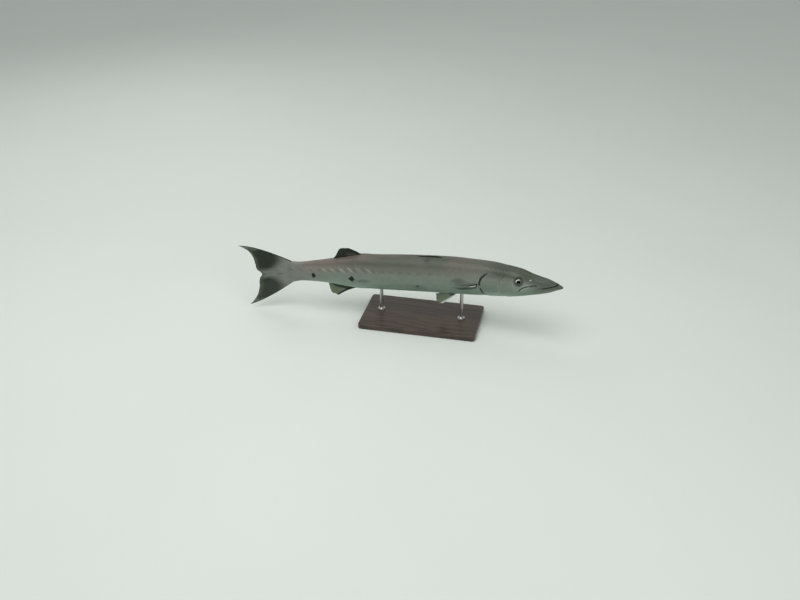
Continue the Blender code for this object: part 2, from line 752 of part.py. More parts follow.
def make_pelvics(parts, finish):
    """The pelvic fins, fans that hang back and outwards under the belly."""
    fin = PELVIC_FIN
    along, across, on_ray = ray_grid(fin["rays"], fin["rows"])
    root_aft = fin["root"] + fin["root_length"] * across
    share = (1 - (fin["spread"] / half_width(root_aft)) ** SQUARENESS) ** (1 / SQUARENESS)
    root_up = middle_up(root_aft) - half_depth(root_aft) * share - 2.5 * GAP
    start = np.stack([root_aft, np.full_like(across, fin["spread"]), root_up], axis=-1)
    length = fin["length"] - fin["shortening"] * across + fin["bulge"] * across * (1 - across) ** 2
    turned = (fin["steepest"] - fin["flattest"]) * across ** fin["turn_power"]
    angle = np.radians(fin["steepest"] - turned)
    drop = length * np.sin(angle)
    end = start + np.stack([length * np.cos(angle), fin["flare"] * drop, -drop], axis=-1)
    bow = np.stack([np.ones_like(across), np.ones_like(across), 1 - fin["bow_loss"] * across], axis=-1)
    path = quadratic(start, start + bow * np.array(fin["bow"]), end, along)
    thickness = fin_thickness(along, on_ray, *fin["thickness"])
    for side, name in ((1, "left"), (-1, "right")):
        centre = np.stack([-path[..., 0], side * path[..., 1], path[..., 2]], axis=-1)
        pose(new_object("pelvic_fin_" + name, *blade(centre, thickness), parts, finish))


# Stand
def make_base(parts):
    mesh = bpy.data.meshes.new("stand_base")
    work = bmesh.new()
    bmesh.ops.create_cube(work, size=1.0)
    bmesh.ops.scale(work, verts=work.verts, vec=(BASE_LENGTH, BASE_WIDTH, BASE_THICKNESS))
    bmesh.ops.translate(work, verts=work.verts, vec=(0, 0, BASE_THICKNESS / 2))
    upright = [e for e in work.edges if abs(e.verts[0].co.z - e.verts[1].co.z) > BASE_THICKNESS / 2]
    bmesh.ops.bevel(work, geom=upright, offset=BASE_EDGE * 4, segments=6, profile=0.5,
                    affect="EDGES", clamp_overlap=True)
    work.to_mesh(mesh)
    work.free()
    base = bpy.data.objects.new("stand_base", mesh)
    parts.objects.link(base)
    top_edges = base.modifiers.new("top_edge", "BEVEL")
    top_edges.width = BASE_EDGE
    top_edges.segments = 2
    top_edges.limit_method = "ANGLE"
    top_edges.angle_limit = math.radians(60)
    paint(base, (0.05, 0.035, 0.025), 0.35)


def belly_centre(aft):
    """The middle of the body's section at a place, in the posed fish."""
    return posed(np.array([(-aft, 0.0, float(middle_up(aft)))]))[0]


def make_rod(name, aft, torso, parts, cutters):
    """An upright rod with a round foot, its top in a bored socket in the belly."""
    x, y, _ = belly_centre(aft)
    belly_height = posed(np.array([(-aft, 0.0, float(belly_up(aft)))]))[0][2]
    foot = BASE_THICKNESS + GAP
    top = belly_height + ROD_SUNK
    edge = 0.0008
    outline = [
        (0.0, top),
        (ROD_RADIUS - edge, top),
        (ROD_RADIUS, top - edge),
        (ROD_RADIUS, foot + ROD_COLLAR_HEIGHT + 0.002),
        (ROD_RADIUS + 0.0025, foot + ROD_COLLAR_HEIGHT),
        (ROD_COLLAR_RADIUS - edge, foot + ROD_COLLAR_HEIGHT),
        (ROD_COLLAR_RADIUS, foot + ROD_COLLAR_HEIGHT - edge),
        (ROD_COLLAR_RADIUS, foot),
        (0.0, foot),
    ]
    mesh = bpy.data.meshes.new(name)
    mesh.from_pydata([(r, 0, z) for r, z in outline],
                     [(i, i + 1) for i in range(len(outline) - 1)], [])
    rod = bpy.data.objects.new(name, mesh)
    parts.objects.link(rod)
    rod.location = (x, y, 0)
    screw = rod.modifiers.new("turn", "SCREW")
    screw.steps = 24
    screw.render_steps = 24
    screw.use_merge_vertices = True
    screw.merge_threshold = 0.00001
    screw.use_smooth_shade = True
    rod.data.materials.append(new_material(name, (0.55, 0.55, 0.53), 0.30, 1.0))

    socket_mesh = bpy.data.meshes.new(name + "_socket")
    work = bmesh.new()
    radius = ROD_RADIUS + GAP
    bmesh.ops.create_cone(work, cap_ends=True, segments=24, radius1=radius, radius2=radius,
                          depth=ROD_SUNK * 4)
    bmesh.ops.translate(work, verts=work.verts, vec=(x, y, top + GAP - ROD_SUNK * 2))
    work.to_mesh(socket_mesh)
    work.free()
    socket = bpy.data.objects.new(name + "_socket", socket_mesh)
    cutters.objects.link(socket)
    boolean(torso, as_cutter(socket), "DIFFERENCE")


def main():
    for obj in list(bpy.data.objects):
        bpy.data.objects.remove(obj)
    parts = new_collection("barracuda")
    cutters = new_collection("cutters")

    flesh = ((0.13, 0.15, 0.12), 0.45)
    dark_fin = ((0.03, 0.035, 0.025), 0.5)
    green_fin = ((0.09, 0.11, 0.06), 0.5)
    clear_fin = ((0.14, 0.16, 0.12), 0.5)

    make_head(parts, cutters)
    torso_front = make_torso_front(parts, flesh)
    torso_rear = make_body_length("torso_rear", TORSO_SPLIT, TAIL_STALK_START, 0.0155, parts, flesh)
    make_body_length("tail_stalk", TAIL_STALK_START, BODY_END, 0.0185, parts, flesh)
    for name, lobe in TAIL_LOBES.items():
        make_tail_lobe("tail_fin_" + name, lobe, parts, dark_fin)
    for name, fin in MEDIAN_FINS.items():
        make_median_fin(name, fin, parts, dark_fin if fin["above"] else green_fin)
    make_pectorals(parts, clear_fin)
    make_pelvics(parts, clear_fin)
    make_base(parts)
    for (name, aft), torso in zip(ROD_PLACES, (torso_front, torso_rear)):
        make_rod("stand_rod_" + name, aft, torso, parts, cutters)
    for torso in (torso_front, torso_rear):
        paint(torso, *flesh)


main()
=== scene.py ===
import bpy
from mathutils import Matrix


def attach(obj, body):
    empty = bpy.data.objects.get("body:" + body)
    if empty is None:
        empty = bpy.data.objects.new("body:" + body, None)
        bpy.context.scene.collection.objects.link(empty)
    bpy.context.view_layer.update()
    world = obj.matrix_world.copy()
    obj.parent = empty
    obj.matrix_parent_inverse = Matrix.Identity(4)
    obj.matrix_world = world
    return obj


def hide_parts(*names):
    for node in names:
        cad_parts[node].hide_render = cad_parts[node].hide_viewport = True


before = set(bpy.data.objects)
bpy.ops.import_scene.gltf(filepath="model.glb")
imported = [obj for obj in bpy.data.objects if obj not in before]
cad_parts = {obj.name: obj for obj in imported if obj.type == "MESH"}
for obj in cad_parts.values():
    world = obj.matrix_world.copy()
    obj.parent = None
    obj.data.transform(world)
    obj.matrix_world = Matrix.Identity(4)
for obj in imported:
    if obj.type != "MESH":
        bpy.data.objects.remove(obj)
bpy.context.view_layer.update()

# Great barracuda, a life-size still model on a display stand.
# Places on the fish are aft, the metres behind the tip of the lower jaw, and up, the metres above its
# long axis. The fish is shaped straight, x being minus aft, and is then bent into its swimming pose.

import math

import bpy
import numpy as np
from mathutils import Vector

print("frame:", len(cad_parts), "nodes")


# Curves and grids

def smoothStep(value, low, high):
    # 0 before low, 1 past high, and 3t squared minus 2t cubed between them. Low may be the larger.
    t = np.clip((np.asarray(value, float) - low) / (high - low), 0, 1)
    return t * t * (3 - 2 * t)


def bell(value, centre, spread):
    # 1 at the centre, falling off as e to the minus square of the distance in spreads
    return np.exp(-((value - centre) / spread) ** 2)


def window(value, low, high, soft):
    # 1 between low and high, with a smooth step of width soft at both ends
    return smoothStep(value, low - soft, low) * (1 - smoothStep(value, high, high + soft))


def lessStep(value, low, high, loss):
    # 1 before low, and less by the loss past high
    return 1 - loss * smoothStep(value, low, high)


def lessBell(value, centre, spread, loss):
    # 1 less a bell, which takes away the loss at its centre
    return 1 - loss * bell(value, centre, spread)


def weigh(values, amount, *factors):
    # An amount times each factor: the name of a value, or a bell, step or window of one
    for factor in factors:
        if isinstance(factor, str):
            amount = amount * values[factor]
        else:
            shape, name, *numbers = factor
            amount = amount * shape(values[name], *numbers)
    return amount


def readCurve(stations, column):
    # A cubic between each two stations, whose slope at a station is the weighted harmonic mean of
    # the slopes on both sides, so that the curve never overshoots
    places = np.array([row[0] for row in stations], float)
    values = np.array([row[column] for row in stations], float)
    steps = np.diff(places)
    slopes = np.diff(values) / steps
    near, far = slopes[:-1], slopes[1:]
    sameWay = near * far > 0
    before, after = 2 * steps[1:] + steps[:-1], steps[1:] + 2 * steps[:-1]
    share = before / np.where(sameWay, near, 1) + after / np.where(sameWay, far, 1)
    inner = np.where(sameWay, (before + after) / np.where(sameWay, share, 1), 0)
    tangents = np.concatenate([[slopes[0]], inner, [slopes[-1]]])

    def valueAt(place):
        place = np.clip(np.asarray(place, float), places[0], places[-1])
        i = np.clip(np.searchsorted(places, place, side="right") - 1, 0, len(places) - 2)
        t = (place - places[i]) / steps[i]
        start = (1 + 2 * t) * (1 - t) ** 2 * values[i] + t * (1 - t) ** 2 * steps[i] * tangents[i]
        end = t * t * (3 - 2 * t) * values[i + 1] - t * t * (1 - t) * steps[i] * tangents[i + 1]
        return start + end

    return valueAt


def quadratic(start, control, end, t):
    # The curve (1-t)(1-t) start + 2t(1-t) control + t t end
    t = t[..., None]
    return (1 - t) ** 2 * start + 2 * t * (1 - t) * control + t * t * end


def normalised(vectors):
    # Each vector over its own length
    return vectors / np.maximum(np.linalg.norm(vectors, axis=-1, keepdims=True), 1e-12)


# Shape of the body, with the sizes of the solids

body = {
    "squareness": 2.4, "headTopSquareness": 3.0, "jawTaper": 0.16, "headFade": (0.20, 0.32),
    "sections": (               # aft, half depth, middle above the axis, half width
        (0.000, 0.0020, -0.0155, 0.0024), (0.003, 0.0038, -0.0155, 0.0046),
        (0.008, 0.0058, -0.0153, 0.0071), (0.020, 0.0110, -0.0144, 0.0108),
        (0.040, 0.0193, -0.0143, 0.0160), (0.071, 0.0272, -0.0148, 0.0225),
        (0.100, 0.0343, -0.0136, 0.0275), (0.148, 0.0473, -0.0097, 0.0345),
        (0.188, 0.0527, -0.0086, 0.0385), (0.225, 0.0565, -0.0057, 0.0415),
        (0.302, 0.0604, -0.0022, 0.0455), (0.380, 0.0625, 0.0000, 0.0470),
        (0.503, 0.0619, 0.0004, 0.0465), (0.611, 0.0605, 0.0000, 0.0435),
        (0.688, 0.0585, 0.0010, 0.0385), (0.736, 0.0537, 0.0010, 0.0340),
        (0.788, 0.0448, 0.0010, 0.0275), (0.842, 0.0384, 0.0013, 0.0205),
        (0.896, 0.0347, 0.0014, 0.0150), (0.925, 0.0386, 0.0015, 0.0110),
    ),
    "backHump": (0.675, 0.030, 0.0045), "bellyHump": (0.690, 0.030, 0.0040),
    "end": 0.925, "coverEnd": 0.951, "coverNarrowing": 0.92, "coverFlare": 0.004,
}
gill = {
    "edge": 0.262, "cheekEdge": 0.199, "cheekStep": 0.040, "lift": 0.012, "inset": 0.0288,
    "liftStart": 0.10, "insetEnd": 0.31, "shiftEnd": 0.38, "freeFade": (0.35, 0.85),
    "edgeAtHeight": (           # height as a share of the half depth, aft
        (-1.00, 0.2120), (-0.85, 0.2455), (-0.45, 0.2620), (-0.06, 0.2676),
        (0.25, 0.2620), (0.60, 0.2404), (1.00, 0.2220),
    ),
}
halfDepthCurve = readCurve(body["sections"], 1)
middleUp = readCurve(body["sections"], 2)
halfWidthCurve = readCurve(body["sections"], 3)
gillEdgeAft = readCurve(gill["edgeAtHeight"], 1)


def tailCover(aft):
    # Rises from 0 to 1 where the skin runs out over the root of the tail fin
    return smoothStep(aft, body["end"], body["coverEnd"])


def halfDepth(aft):
    # The table's curve, flared a little over the root of the tail
    return halfDepthCurve(aft) + body["coverFlare"] * tailCover(aft)


def halfWidth(aft):
    # The table's curve, drawn in to almost nothing over the root of the tail
    return halfWidthCurve(aft) * (1 - body["coverNarrowing"] * tailCover(aft))


def hump(aft, centre, spread, height):
    # A height times a bell along the body
    return height * bell(aft, centre, spread)


def backUp(aft):
    # Middle plus half depth plus the hump that carries the rear dorsal fin
    return middleUp(aft) + halfDepth(aft) + hump(aft, *body["backHump"])


def bellyUp(aft):
    # Middle less half depth less the hump that carries the anal fin
    return middleUp(aft) - halfDepth(aft) - hump(aft, *body["bellyHump"])


def headShare(aft):
    # 1 on the head, 0 on the body, by a smooth step
    return 1 - smoothStep(aft, *body["headFade"])


def squareness(aft, above):
    # Power of the superellipse: the head is flatter across its top
    return body["squareness"] + (body["headTopSquareness"] - body["squareness"]) * headShare(aft) * above


def jawNarrowing(aft, share):
    # The head narrows towards the chin as the 1.5th power of the depth below its middle
    return 1 - body["jawTaper"] * headShare(aft) * np.clip(-share, 0, 1) ** 1.5


def flankWidth(aft, up):
    # Half width at a height: half width times (1 - |share|^n)^(1/n)
    share = np.clip((up - middleUp(aft)) / halfDepth(aft), -0.999, 0.999)
    power = squareness(aft, share > 0)
    return halfWidth(aft) * (1 - np.abs(share) ** power) ** (1 / power) * jawNarrowing(aft, share)


def bodyPoint(aft, turn, swell=1.0):
    # A superellipse round the axis: the 2/n-th powers of the cosine and sine of the turn, times the
    # half width and half depth. The turn goes from the belly at -90 degrees, by the left side, to the back.
    aft, turn = np.broadcast_arrays(np.asarray(aft, float), turn)
    side, rise = np.cos(turn), np.sin(turn)
    power = squareness(aft, rise > 0)
    across = np.sign(side) * np.abs(side) ** (2 / power)
    height = np.sign(rise) * np.abs(rise) ** (2 / power)
    y = halfWidth(aft) * across * jawNarrowing(aft, height) * swell
    z = middleUp(aft) + halfDepth(aft) * height * swell
    z = z + hump(aft, *body["backHump"]) * np.clip(rise, 0, 1) ** 8
    z = z - hump(aft, *body["bellyHump"]) * np.clip(-rise, 0, 1) ** 8
    return np.stack(np.broadcast_arrays(-aft, y, z), axis=-1)


def bodyNormal(aft, turn):
    # Square to the differences of neighbouring points along the body and round it
    alongStep, turnStep = 0.0015, 0.02
    along = bodyPoint(aft + alongStep, turn) - bodyPoint(aft - alongStep, turn)
    around = bodyPoint(aft, turn + turnStep) - bodyPoint(aft, turn - turnStep)
    return normalised(np.cross(along, around))


def shareOfHeight(turn):
    # Height over the half depth: the sine of the turn to the power 2/n, with its sign
    rise = np.sin(turn)
    return np.sign(rise) * np.abs(rise) ** (2 / body["squareness"])


def gillSide(turn):
    # 1 where the gill cover stands free, 0 on the nape
    return 1 - smoothStep(shareOfHeight(turn), *gill["freeFade"])


def gillShift(turn):
    # How far the gill's edge lies behind its place at the middle of the flank
    return gillEdgeAft(shareOfHeight(turn)) - gill["edge"]


def shiftFade(nominal):
    # How much of the gill edge's curve a ring of the body follows
    ahead = smoothStep(nominal, gill["liftStart"], gill["edge"])
    behind = 1 - smoothStep(nominal, gill["edge"], gill["shiftEnd"])
    return np.where(nominal < gill["edge"], ahead, behind)


def nominalAft(aft, turn):
    # The ring that passes through a place, by repeating nominal = aft - shift times fade
    nominal = np.asarray(aft, float)
    for _ in range(6):
        nominal = aft - gillShift(turn) * shiftFade(nominal)
    return nominal


def swellAt(nominal, turn):
    # Factor on a ring: it grows to the cheek's edge, steps in there, grows again to the gill edge,
    # and lies in behind it
    rise = gill["lift"] * smoothStep(nominal, gill["liftStart"], gill["cheekEdge"])
    step = (nominal > gill["cheekEdge"]) * (1 - smoothStep(nominal, gill["cheekEdge"], gill["edge"]))
    torso = -gill["inset"] * (1 - smoothStep(nominal, gill["edge"], gill["insetEnd"]))
    return 1 + np.where(nominal <= gill["edge"], rise - gill["cheekStep"] * step, torso) * gillSide(turn)


# A table that turns a share of the way from belly to back into an angle
tableAft = np.linspace(0, body["coverEnd"], 477)
tableRise = np.linspace(0, 1, 241)


def makeTurnTable():
    # Lengths added up along each section, read backwards at even shares of the whole
    fine = np.linspace(-np.pi / 2, np.pi / 2, 721)
    section = bodyPoint(tableAft[:, None], fine[None, :])
    steps = np.linalg.norm(np.diff(section[..., 1:], axis=1), axis=-1)
    girth = np.concatenate([np.zeros((len(tableAft), 1)), np.cumsum(steps, axis=1)], axis=1)
    turns = np.array([np.interp(tableRise, row / row[-1], fine) for row in girth])
    heights = np.array([np.interp(tableRise, row / row[-1], up) for row, up in zip(girth, section[..., 2])])
    return turns, heights, girth[:, -1]


turnTable, heightTable, halfGirthTable = makeTurnTable()


def turnAt(aft, rise):
    # The table read with straight lines between its rows and columns
    i = np.clip(aft / tableAft[1], 0, len(tableAft) - 1.001)
    j = np.clip(rise, 0, 1) * (len(tableRise) - 1.001)
    row, column = i.astype(int), j.astype(int)
    down, right = i - row, j - column
    upper = turnTable[row, column] * (1 - right) + turnTable[row, column + 1] * right
    lower = turnTable[row + 1, column] * (1 - right) + turnTable[row + 1, column + 1] * right
    return upper * (1 - down) + lower * down


def halfGirth(aft):
    # Way round one side of the section from belly to back, read from the table
    return np.interp(aft, tableAft, halfGirthTable)


# Pose of the fish

pose = {
    "bendStart": 0.550, "bendRadius": 4.07, "tailSweep": 1.63, "pitch": math.radians(4.2),
    "standAft": 0.470, "axisHeight": 0.172, "sideShift": 0.012,
}


def makeSpine():
    # The axis turns by 1 over the radius, and aft of the bend's start by the cube of the distance too
    places = np.linspace(0.0, 1.2, 1201)
    ahead = pose["bendStart"] - places
    turn = ahead / pose["bendRadius"] + pose["tailSweep"] * np.minimum(ahead, 0) ** 3
    step = places[1] - places[0]
    x = -np.cumsum(np.cos(turn)) * step
    y = np.cumsum(np.sin(turn)) * step
    x -= np.interp(pose["standAft"], places, x)
    y -= np.interp(pose["bendStart"], places, y)
    return places, x, y, turn


spine = makeSpine()


def posed(points):
    # Each point keeps its distances from the axis, which is bent, pitched and raised
    places, spineX, spineY, spineTurn = spine
    aft = -points[..., 0]
    turn = np.interp(aft, places, spineTurn)
    x = np.interp(aft, places, spineX) + points[..., 1] * np.sin(turn)
    y = np.interp(aft, places, spineY) + points[..., 1] * np.cos(turn)
    z = points[..., 2]
    cos, sin = math.cos(pose["pitch"]), math.sin(pose["pitch"])
    return np.stack(
        [x * cos - z * sin, y + pose["sideShift"], x * sin + z * cos + pose["axisHeight"]], axis=-1
    )


# Meshes

mirror = np.array([1, -1, 1])
toPlace = np.array([-1, 1, 1])          # turns x of the straight fish into aft


def ringAngles(around):
    # Even angles once round, the last one short of the first
    return np.linspace(0, 2 * np.pi, around, endpoint=False)


def addObject(name, data):
    # A new object in the scene
    thing = bpy.data.objects.new(name, data)
    bpy.context.scene.collection.objects.link(thing)
    return thing


def makeMesh(name, points, faces, values=None, smooth=True):
    # A mesh object at the origin, with one number or vector for each point under each name
    mesh = bpy.data.meshes.new(name)
    mesh.from_pydata(points.reshape(-1, 3).tolist(), [], faces)
    for key, numbers in (values or {}).items():
        numbers = np.asarray(numbers, np.float32)
        vector = numbers.shape[-1] == 3 and numbers.size == 3 * len(mesh.vertices)
        layer = mesh.attributes.new(key, "FLOAT_VECTOR" if vector else "FLOAT", "POINT")
        layer.data.foreach_set("vector" if vector else "value", numbers.ravel())
    if smooth:
        mesh.shade_smooth()
    mesh.validate()
    return addObject(name, mesh)


def gridFaces(rows, columns, closed=False, start=0):
    # Quads between neighbouring rows and columns of a grid, the last column joined to the first if closed
    index = start + np.arange(rows * columns).reshape(rows, columns)
    right = np.roll(index, -1, axis=1)
    if not closed:
        index, right = index[:, :-1], right[:, :-1]
    quads = np.stack([index[:-1], right[:-1], right[1:], index[1:]], axis=-1)
    return quads.reshape(-1, 4).tolist()


def poleFaces(ring, pole, backwards=False):
    # A fan of triangles from a ring of points to one point
    following = np.roll(ring, -1)
    fan = np.stack([ring, following, np.full_like(ring, pole)], axis=-1)
    return (fan[:, ::-1] if backwards else fan).tolist()


def revolve(profile, origin, axis, forward, around=72):
    # Each point of the profile, a radius and a height, is carried round the axis
    radius, height = np.array(profile, float).T
    sideways = np.cross(axis, forward)
    angle = ringAngles(around)
    ring = np.cos(angle)[:, None] * forward + np.sin(angle)[:, None] * sideways
    local = radius[:, None, None] * ring[None] + height[:, None, None] * axis
    parts = radius[:, None] * np.cos(angle), radius[:, None] * np.sin(angle), height[:, None]
    flat = np.stack(np.broadcast_arrays(*parts), axis=-1)
    return origin + local, flat


def tubeAround(path, first, second, around):
    # A ring at each point of a path: the cosine times one way plus the sine times the other
    angle = ringAngles(around)[:, None]
    return path[:, None] + np.cos(angle) * first[:, None] + np.sin(angle) * second[:, None]


def turnOutwards(piece):
    # Flip the faces of a closed shell whose volume comes out negative
    mesh = piece.data
    count = len(mesh.vertices)
    co = np.empty(count * 3, np.float32)
    mesh.vertices.foreach_get("co", co)
    co = co.reshape(-1, 3)
    mesh.calc_loop_triangles()
    corners = np.empty(len(mesh.loop_triangles) * 3, np.int32)
    mesh.loop_triangles.foreach_get("vertices", corners)
    a, b, c = (co[corners.reshape(-1, 3)[:, k]] for k in range(3))
    if np.einsum("ij,ij->i", a, np.cross(b, c)).sum() < 0:
        mesh.flip_normals()
    return piece


def makePiece(name, straight, faces, **values):
    # A closed piece of the straight fish in its pose, with each point's place on the fish and the values
    # given, each of them one number or one for each point
    straight = straight.reshape(-1, 3)
    values = {key: np.broadcast_to(numbers, len(straight)) for key, numbers in values.items()}
    return turnOutwards(makeMesh(name, posed(straight), faces, {"place": straight * toPlace, **values}))


def dress(piece, material, slot, *nodes):
    # Gives a piece its material, puts it on the one body, in place of the nodes named
    piece.data.materials.append(material)
    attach(piece, "root")
    if nodes:
        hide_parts(*nodes)
    print("piece:", piece.name, len(piece.data.polygons), "faces")


# Nodes for materials

def addNode(tree, kind, inputs=None, **settings):
    # A node with its settings, and with each input linked to a socket or given a value
    node = tree.nodes.new(kind)
    for key, value in settings.items():
        setattr(node, key, value)
    for key, value in (inputs or {}).items():
        if isinstance(value, bpy.types.NodeSocket):
            tree.links.new(value, node.inputs[key])
        else:
            node.inputs[key].default_value = value
    return node


def addMath(tree, operation, first, second=0.0, clamp=False):
    # One operation on two numbers or sockets
    inputs = {0: first, 1: second}
    return addNode(tree, "ShaderNodeMath", inputs, operation=operation, use_clamp=clamp).outputs[0]


def addStep(tree, value, low, high, fromValue=0.0, toValue=1.0):
    # A smooth step from one value to another
    inputs = {"Value": value, "From Min": low, "From Max": high, "To Min": fromValue, "To Max": toValue}
    return addNode(tree, "ShaderNodeMapRange", inputs, interpolation_type="SMOOTHSTEP").outputs[0]


def addProduct(tree, first, *others):
    # All of them multiplied
    for factor in others:
        first = addMath(tree, "MULTIPLY", first, factor)
    return first


def addMask(tree, *steps):
    # The product of smooth steps: for each a value, where it starts and ends, and what it gives there if
    # that isn't 0 and 1. A value alone is taken as it is.
    return addProduct(tree, *(addStep(tree, *step) if step[1:] else step[0] for step in steps))


def addWander(tree, noise, width):
    # A noise made so many units wide about 0
    return addMath(tree, "MULTIPLY", addMath(tree, "SUBTRACT", noise, 0.5), width)


def addMix(tree, share, first, second):
    # The first colour at share 0, the second at share 1
    first, second = ((*each, 1.0) if isinstance(each, tuple) else each for each in (first, second))
    return addNode(tree, "ShaderNodeMix", {0: share, 6: first, 7: second}, data_type="RGBA").outputs[2]


def addMarks(tree, colour, values, palette, marks):
    # Marks over a colour: for each the name of its own colour and the steps of its mask
    for key, *steps in marks:
        mask = addMask(tree, *((values[name], *edges) for name, *edges in steps))
        colour = addMix(tree, mask, colour, palette[key])
    return colour


def addNoise(tree, place, scale, detail=3.0, roughness=0.55):
    # Noise from about 0.2 to 0.8
    inputs = {"Vector": place, "Scale": scale, "Detail": detail, "Roughness": roughness}
    return addNode(tree, "ShaderNodeTexNoise", inputs).outputs[0]


def addVector(tree, operation, first, second=(0.0, 0.0, 0.0), output=0):
    # One operation on two vectors or sockets
    return addNode(tree, "ShaderNodeVectorMath", {0: first, 1: second}, operation=operation).outputs[output]


def addStretch(tree, place, factors):
    # A place scaled along each axis, which draws a noise out along the smallest
    return addVector(tree, "MULTIPLY", place, factors)


def addScale(tree, colour, factor):
    # A colour made brighter or darker by a factor
    return addNode(tree, "ShaderNodeVectorMath", {0: colour, "Scale": factor}, operation="SCALE").outputs[0]


def addBump(tree, height, distance, strength=1.0):
    # A normal from a height
    inputs = {"Height": height, "Distance": distance, "Strength": strength}
    return addNode(tree, "ShaderNodeBump", inputs).outputs[0]


def addRamp(tree, value, stops):
    # A colour between stops, each a value and its colour
    ramp = addNode(tree, "ShaderNodeValToRGB", {0: value})
    elements = ramp.color_ramp.elements
    while len(elements) < len(stops):
        elements.new(0.5)
    for element, (position, colour) in zip(elements, stops):
        element.position = position
        element.color = (*colour, 1.0)
    return ramp.outputs[0]


def readValue(tree, name, output="Fac"):
    # What the mesh holds for each point under a name
    return addNode(tree, "ShaderNodeAttribute", attribute_name=name).outputs[output]


def newGroup(name, inputs, outputs):
    # A shader node group; inputs and outputs are names with "Float", "Vector" or "Color"
    group = bpy.data.node_groups.new(name, "ShaderNodeTree")
    for way, sockets in (("INPUT", inputs), ("OUTPUT", outputs)):
        for socket, kind in sockets.items():
            group.interface.new_socket(name=socket, in_out=way, socket_type="NodeSocket" + kind)
    return group, group.nodes.new("NodeGroupInput").outputs, group.nodes.new("NodeGroupOutput").inputs


def addGroup(tree, group, inputs):
    # The outputs of a node group with these inputs
    return addNode(tree, "ShaderNodeGroup", inputs, node_tree=group).outputs


def finish(tree, sockets, colour, bump, roughness=None):
    # Links a colour, a bump from a value, its height and its strength, and a smooth step of roughness
    tree.links.new(colour, sockets["Base Color"])
    tree.links.new(addBump(tree, *bump), sockets["Normal"])
    if roughness:
        tree.links.new(addStep(tree, *roughness), sockets["Roughness"])


def newMaterial(name, **sockets):
    # A Principled material with plain values on the shader's own sockets
    material = bpy.data.materials.new(name)
    material.use_nodes = True
    shader = material.node_tree.nodes["Principled BSDF"]
    for key, value in sockets.items():
        shader.inputs[key.replace("_", " ")].default_value = value
    return material, material.node_tree, shader.inputs


# Colours of the fish

colours = {
    "ramp": (                   # from the belly to the back, by height as a share of the half depth
        (0.00, (0.310, 0.440, 0.350)), (0.22, (0.218, 0.294, 0.234)), (0.45, (0.208, 0.252, 0.203)),
        (0.60, (0.210, 0.236, 0.196)), (0.72, (0.190, 0.200, 0.165)), (0.84, (0.130, 0.135, 0.107)),
        (1.00, (0.100, 0.104, 0.080)),
    ),
    "backBrown": (0.124, 0.104, 0.084), "backOlive": (0.066, 0.078, 0.052), "stalk": (0.160, 0.125, 0.103),
    # stalkHighlight is a painted highlight, a warm pool of light on the upper middle of the stalk
    "stalkHighlight": (0.308, 0.274, 0.224), "stalkEnd": (0.210, 0.217, 0.195), "jaw": (0.121, 0.172, 0.106),
    "headTop": (0.052, 0.066, 0.040), "snout": (0.068, 0.080, 0.060), "slant": (0.42, 0.42, 0.37),
    "tooth": (0.060, 0.070, 0.056), "spot": (0.004, 0.006, 0.005),
}
pattern = {
    "mottle": (42.0, 5.0, 0.62), "mottleStretch": (0.55, 1.0, 1.0), "mottleOnLevel": 0.16,
    "cloud": (14.0, 2.0), "cloudStretch": (0.45, 1.0, 1.0), "brightness": (0.25, 0.80, 0.91, 1.08),
    "toothPeriod": 0.0335, "toothSlope": 1.1, "toothDepth": 0.22, "toothShare": 0.24, "toothWander": 0.30,
    "oliveOverBrown": 0.7, "waver": (170.0, 2.0), "waverWidth": 0.7,
    "sharpEdge": 0.20, "softEdge": 0.65, "softBelow": 0.5,
}
masks = {                       # each a product of steps: a value, where it starts and ends, its results
    "stalkEnd": (("aft", 0.76, 0.90, 0.0, 0.92),),
    "torso": (("aft", 0.24, 0.36), ("aft", 0.925, 0.86)),
    "lowTint": (("above", -0.05, 0.12, 0.0, 0.30),),
    "highTint": (("share", 0.56, 0.82, 0.0, 0.61),),
    "olive": (("aft", 0.34, 0.41), ("aft", 0.60, 0.52)),
    "brown": (("cloud", 0.38, 0.58),),
    "stalk": (("aft", 0.60, 0.82),),
    # Painted highlight on the upper middle of the stalk
    "stalkHighlight": (("aft", 0.70, 0.80), ("aft", 0.92, 0.84), ("share", 0.10, 0.38), ("share", 0.80, 0.55),
                  ("cloud", 0.38, 0.62, 0.35, 0.95)),
    "slant": (("tooth", 0.58, 0.80), ("tooth", 1.0, 0.86), ("share", 0.12, 0.32), ("share", 0.58, 0.40),
              ("aft", 0.60, 0.67), ("aft", 0.84, 0.80), ("mottle", 0.34, 0.58, 0.15, 0.72)),
    "tooth": (("tooth", 0.14, 0.30), ("tooth", 0.56, 0.42), ("share", 0.14, 0.24), ("share", 0.46, 0.34),
              ("aft", 0.38, 0.66, 0.0, 0.42)),
    "headTop": (("aft", 0.27, 0.20, 0.0, 0.88), ("level", 0.62, 0.88)),
    "jaw": (("aft", 0.21, 0.11, 0.0, 0.82), ("level", 0.40, 0.12)),
    "snout": (("aft", 0.125, 0.060), ("level", 0.05, 0.50, 0.35, 0.8)),
    "silver": (("level", 0.05, 0.35), ("level", 0.86, 0.60), ("dark", 0.5, 0.0)),
}
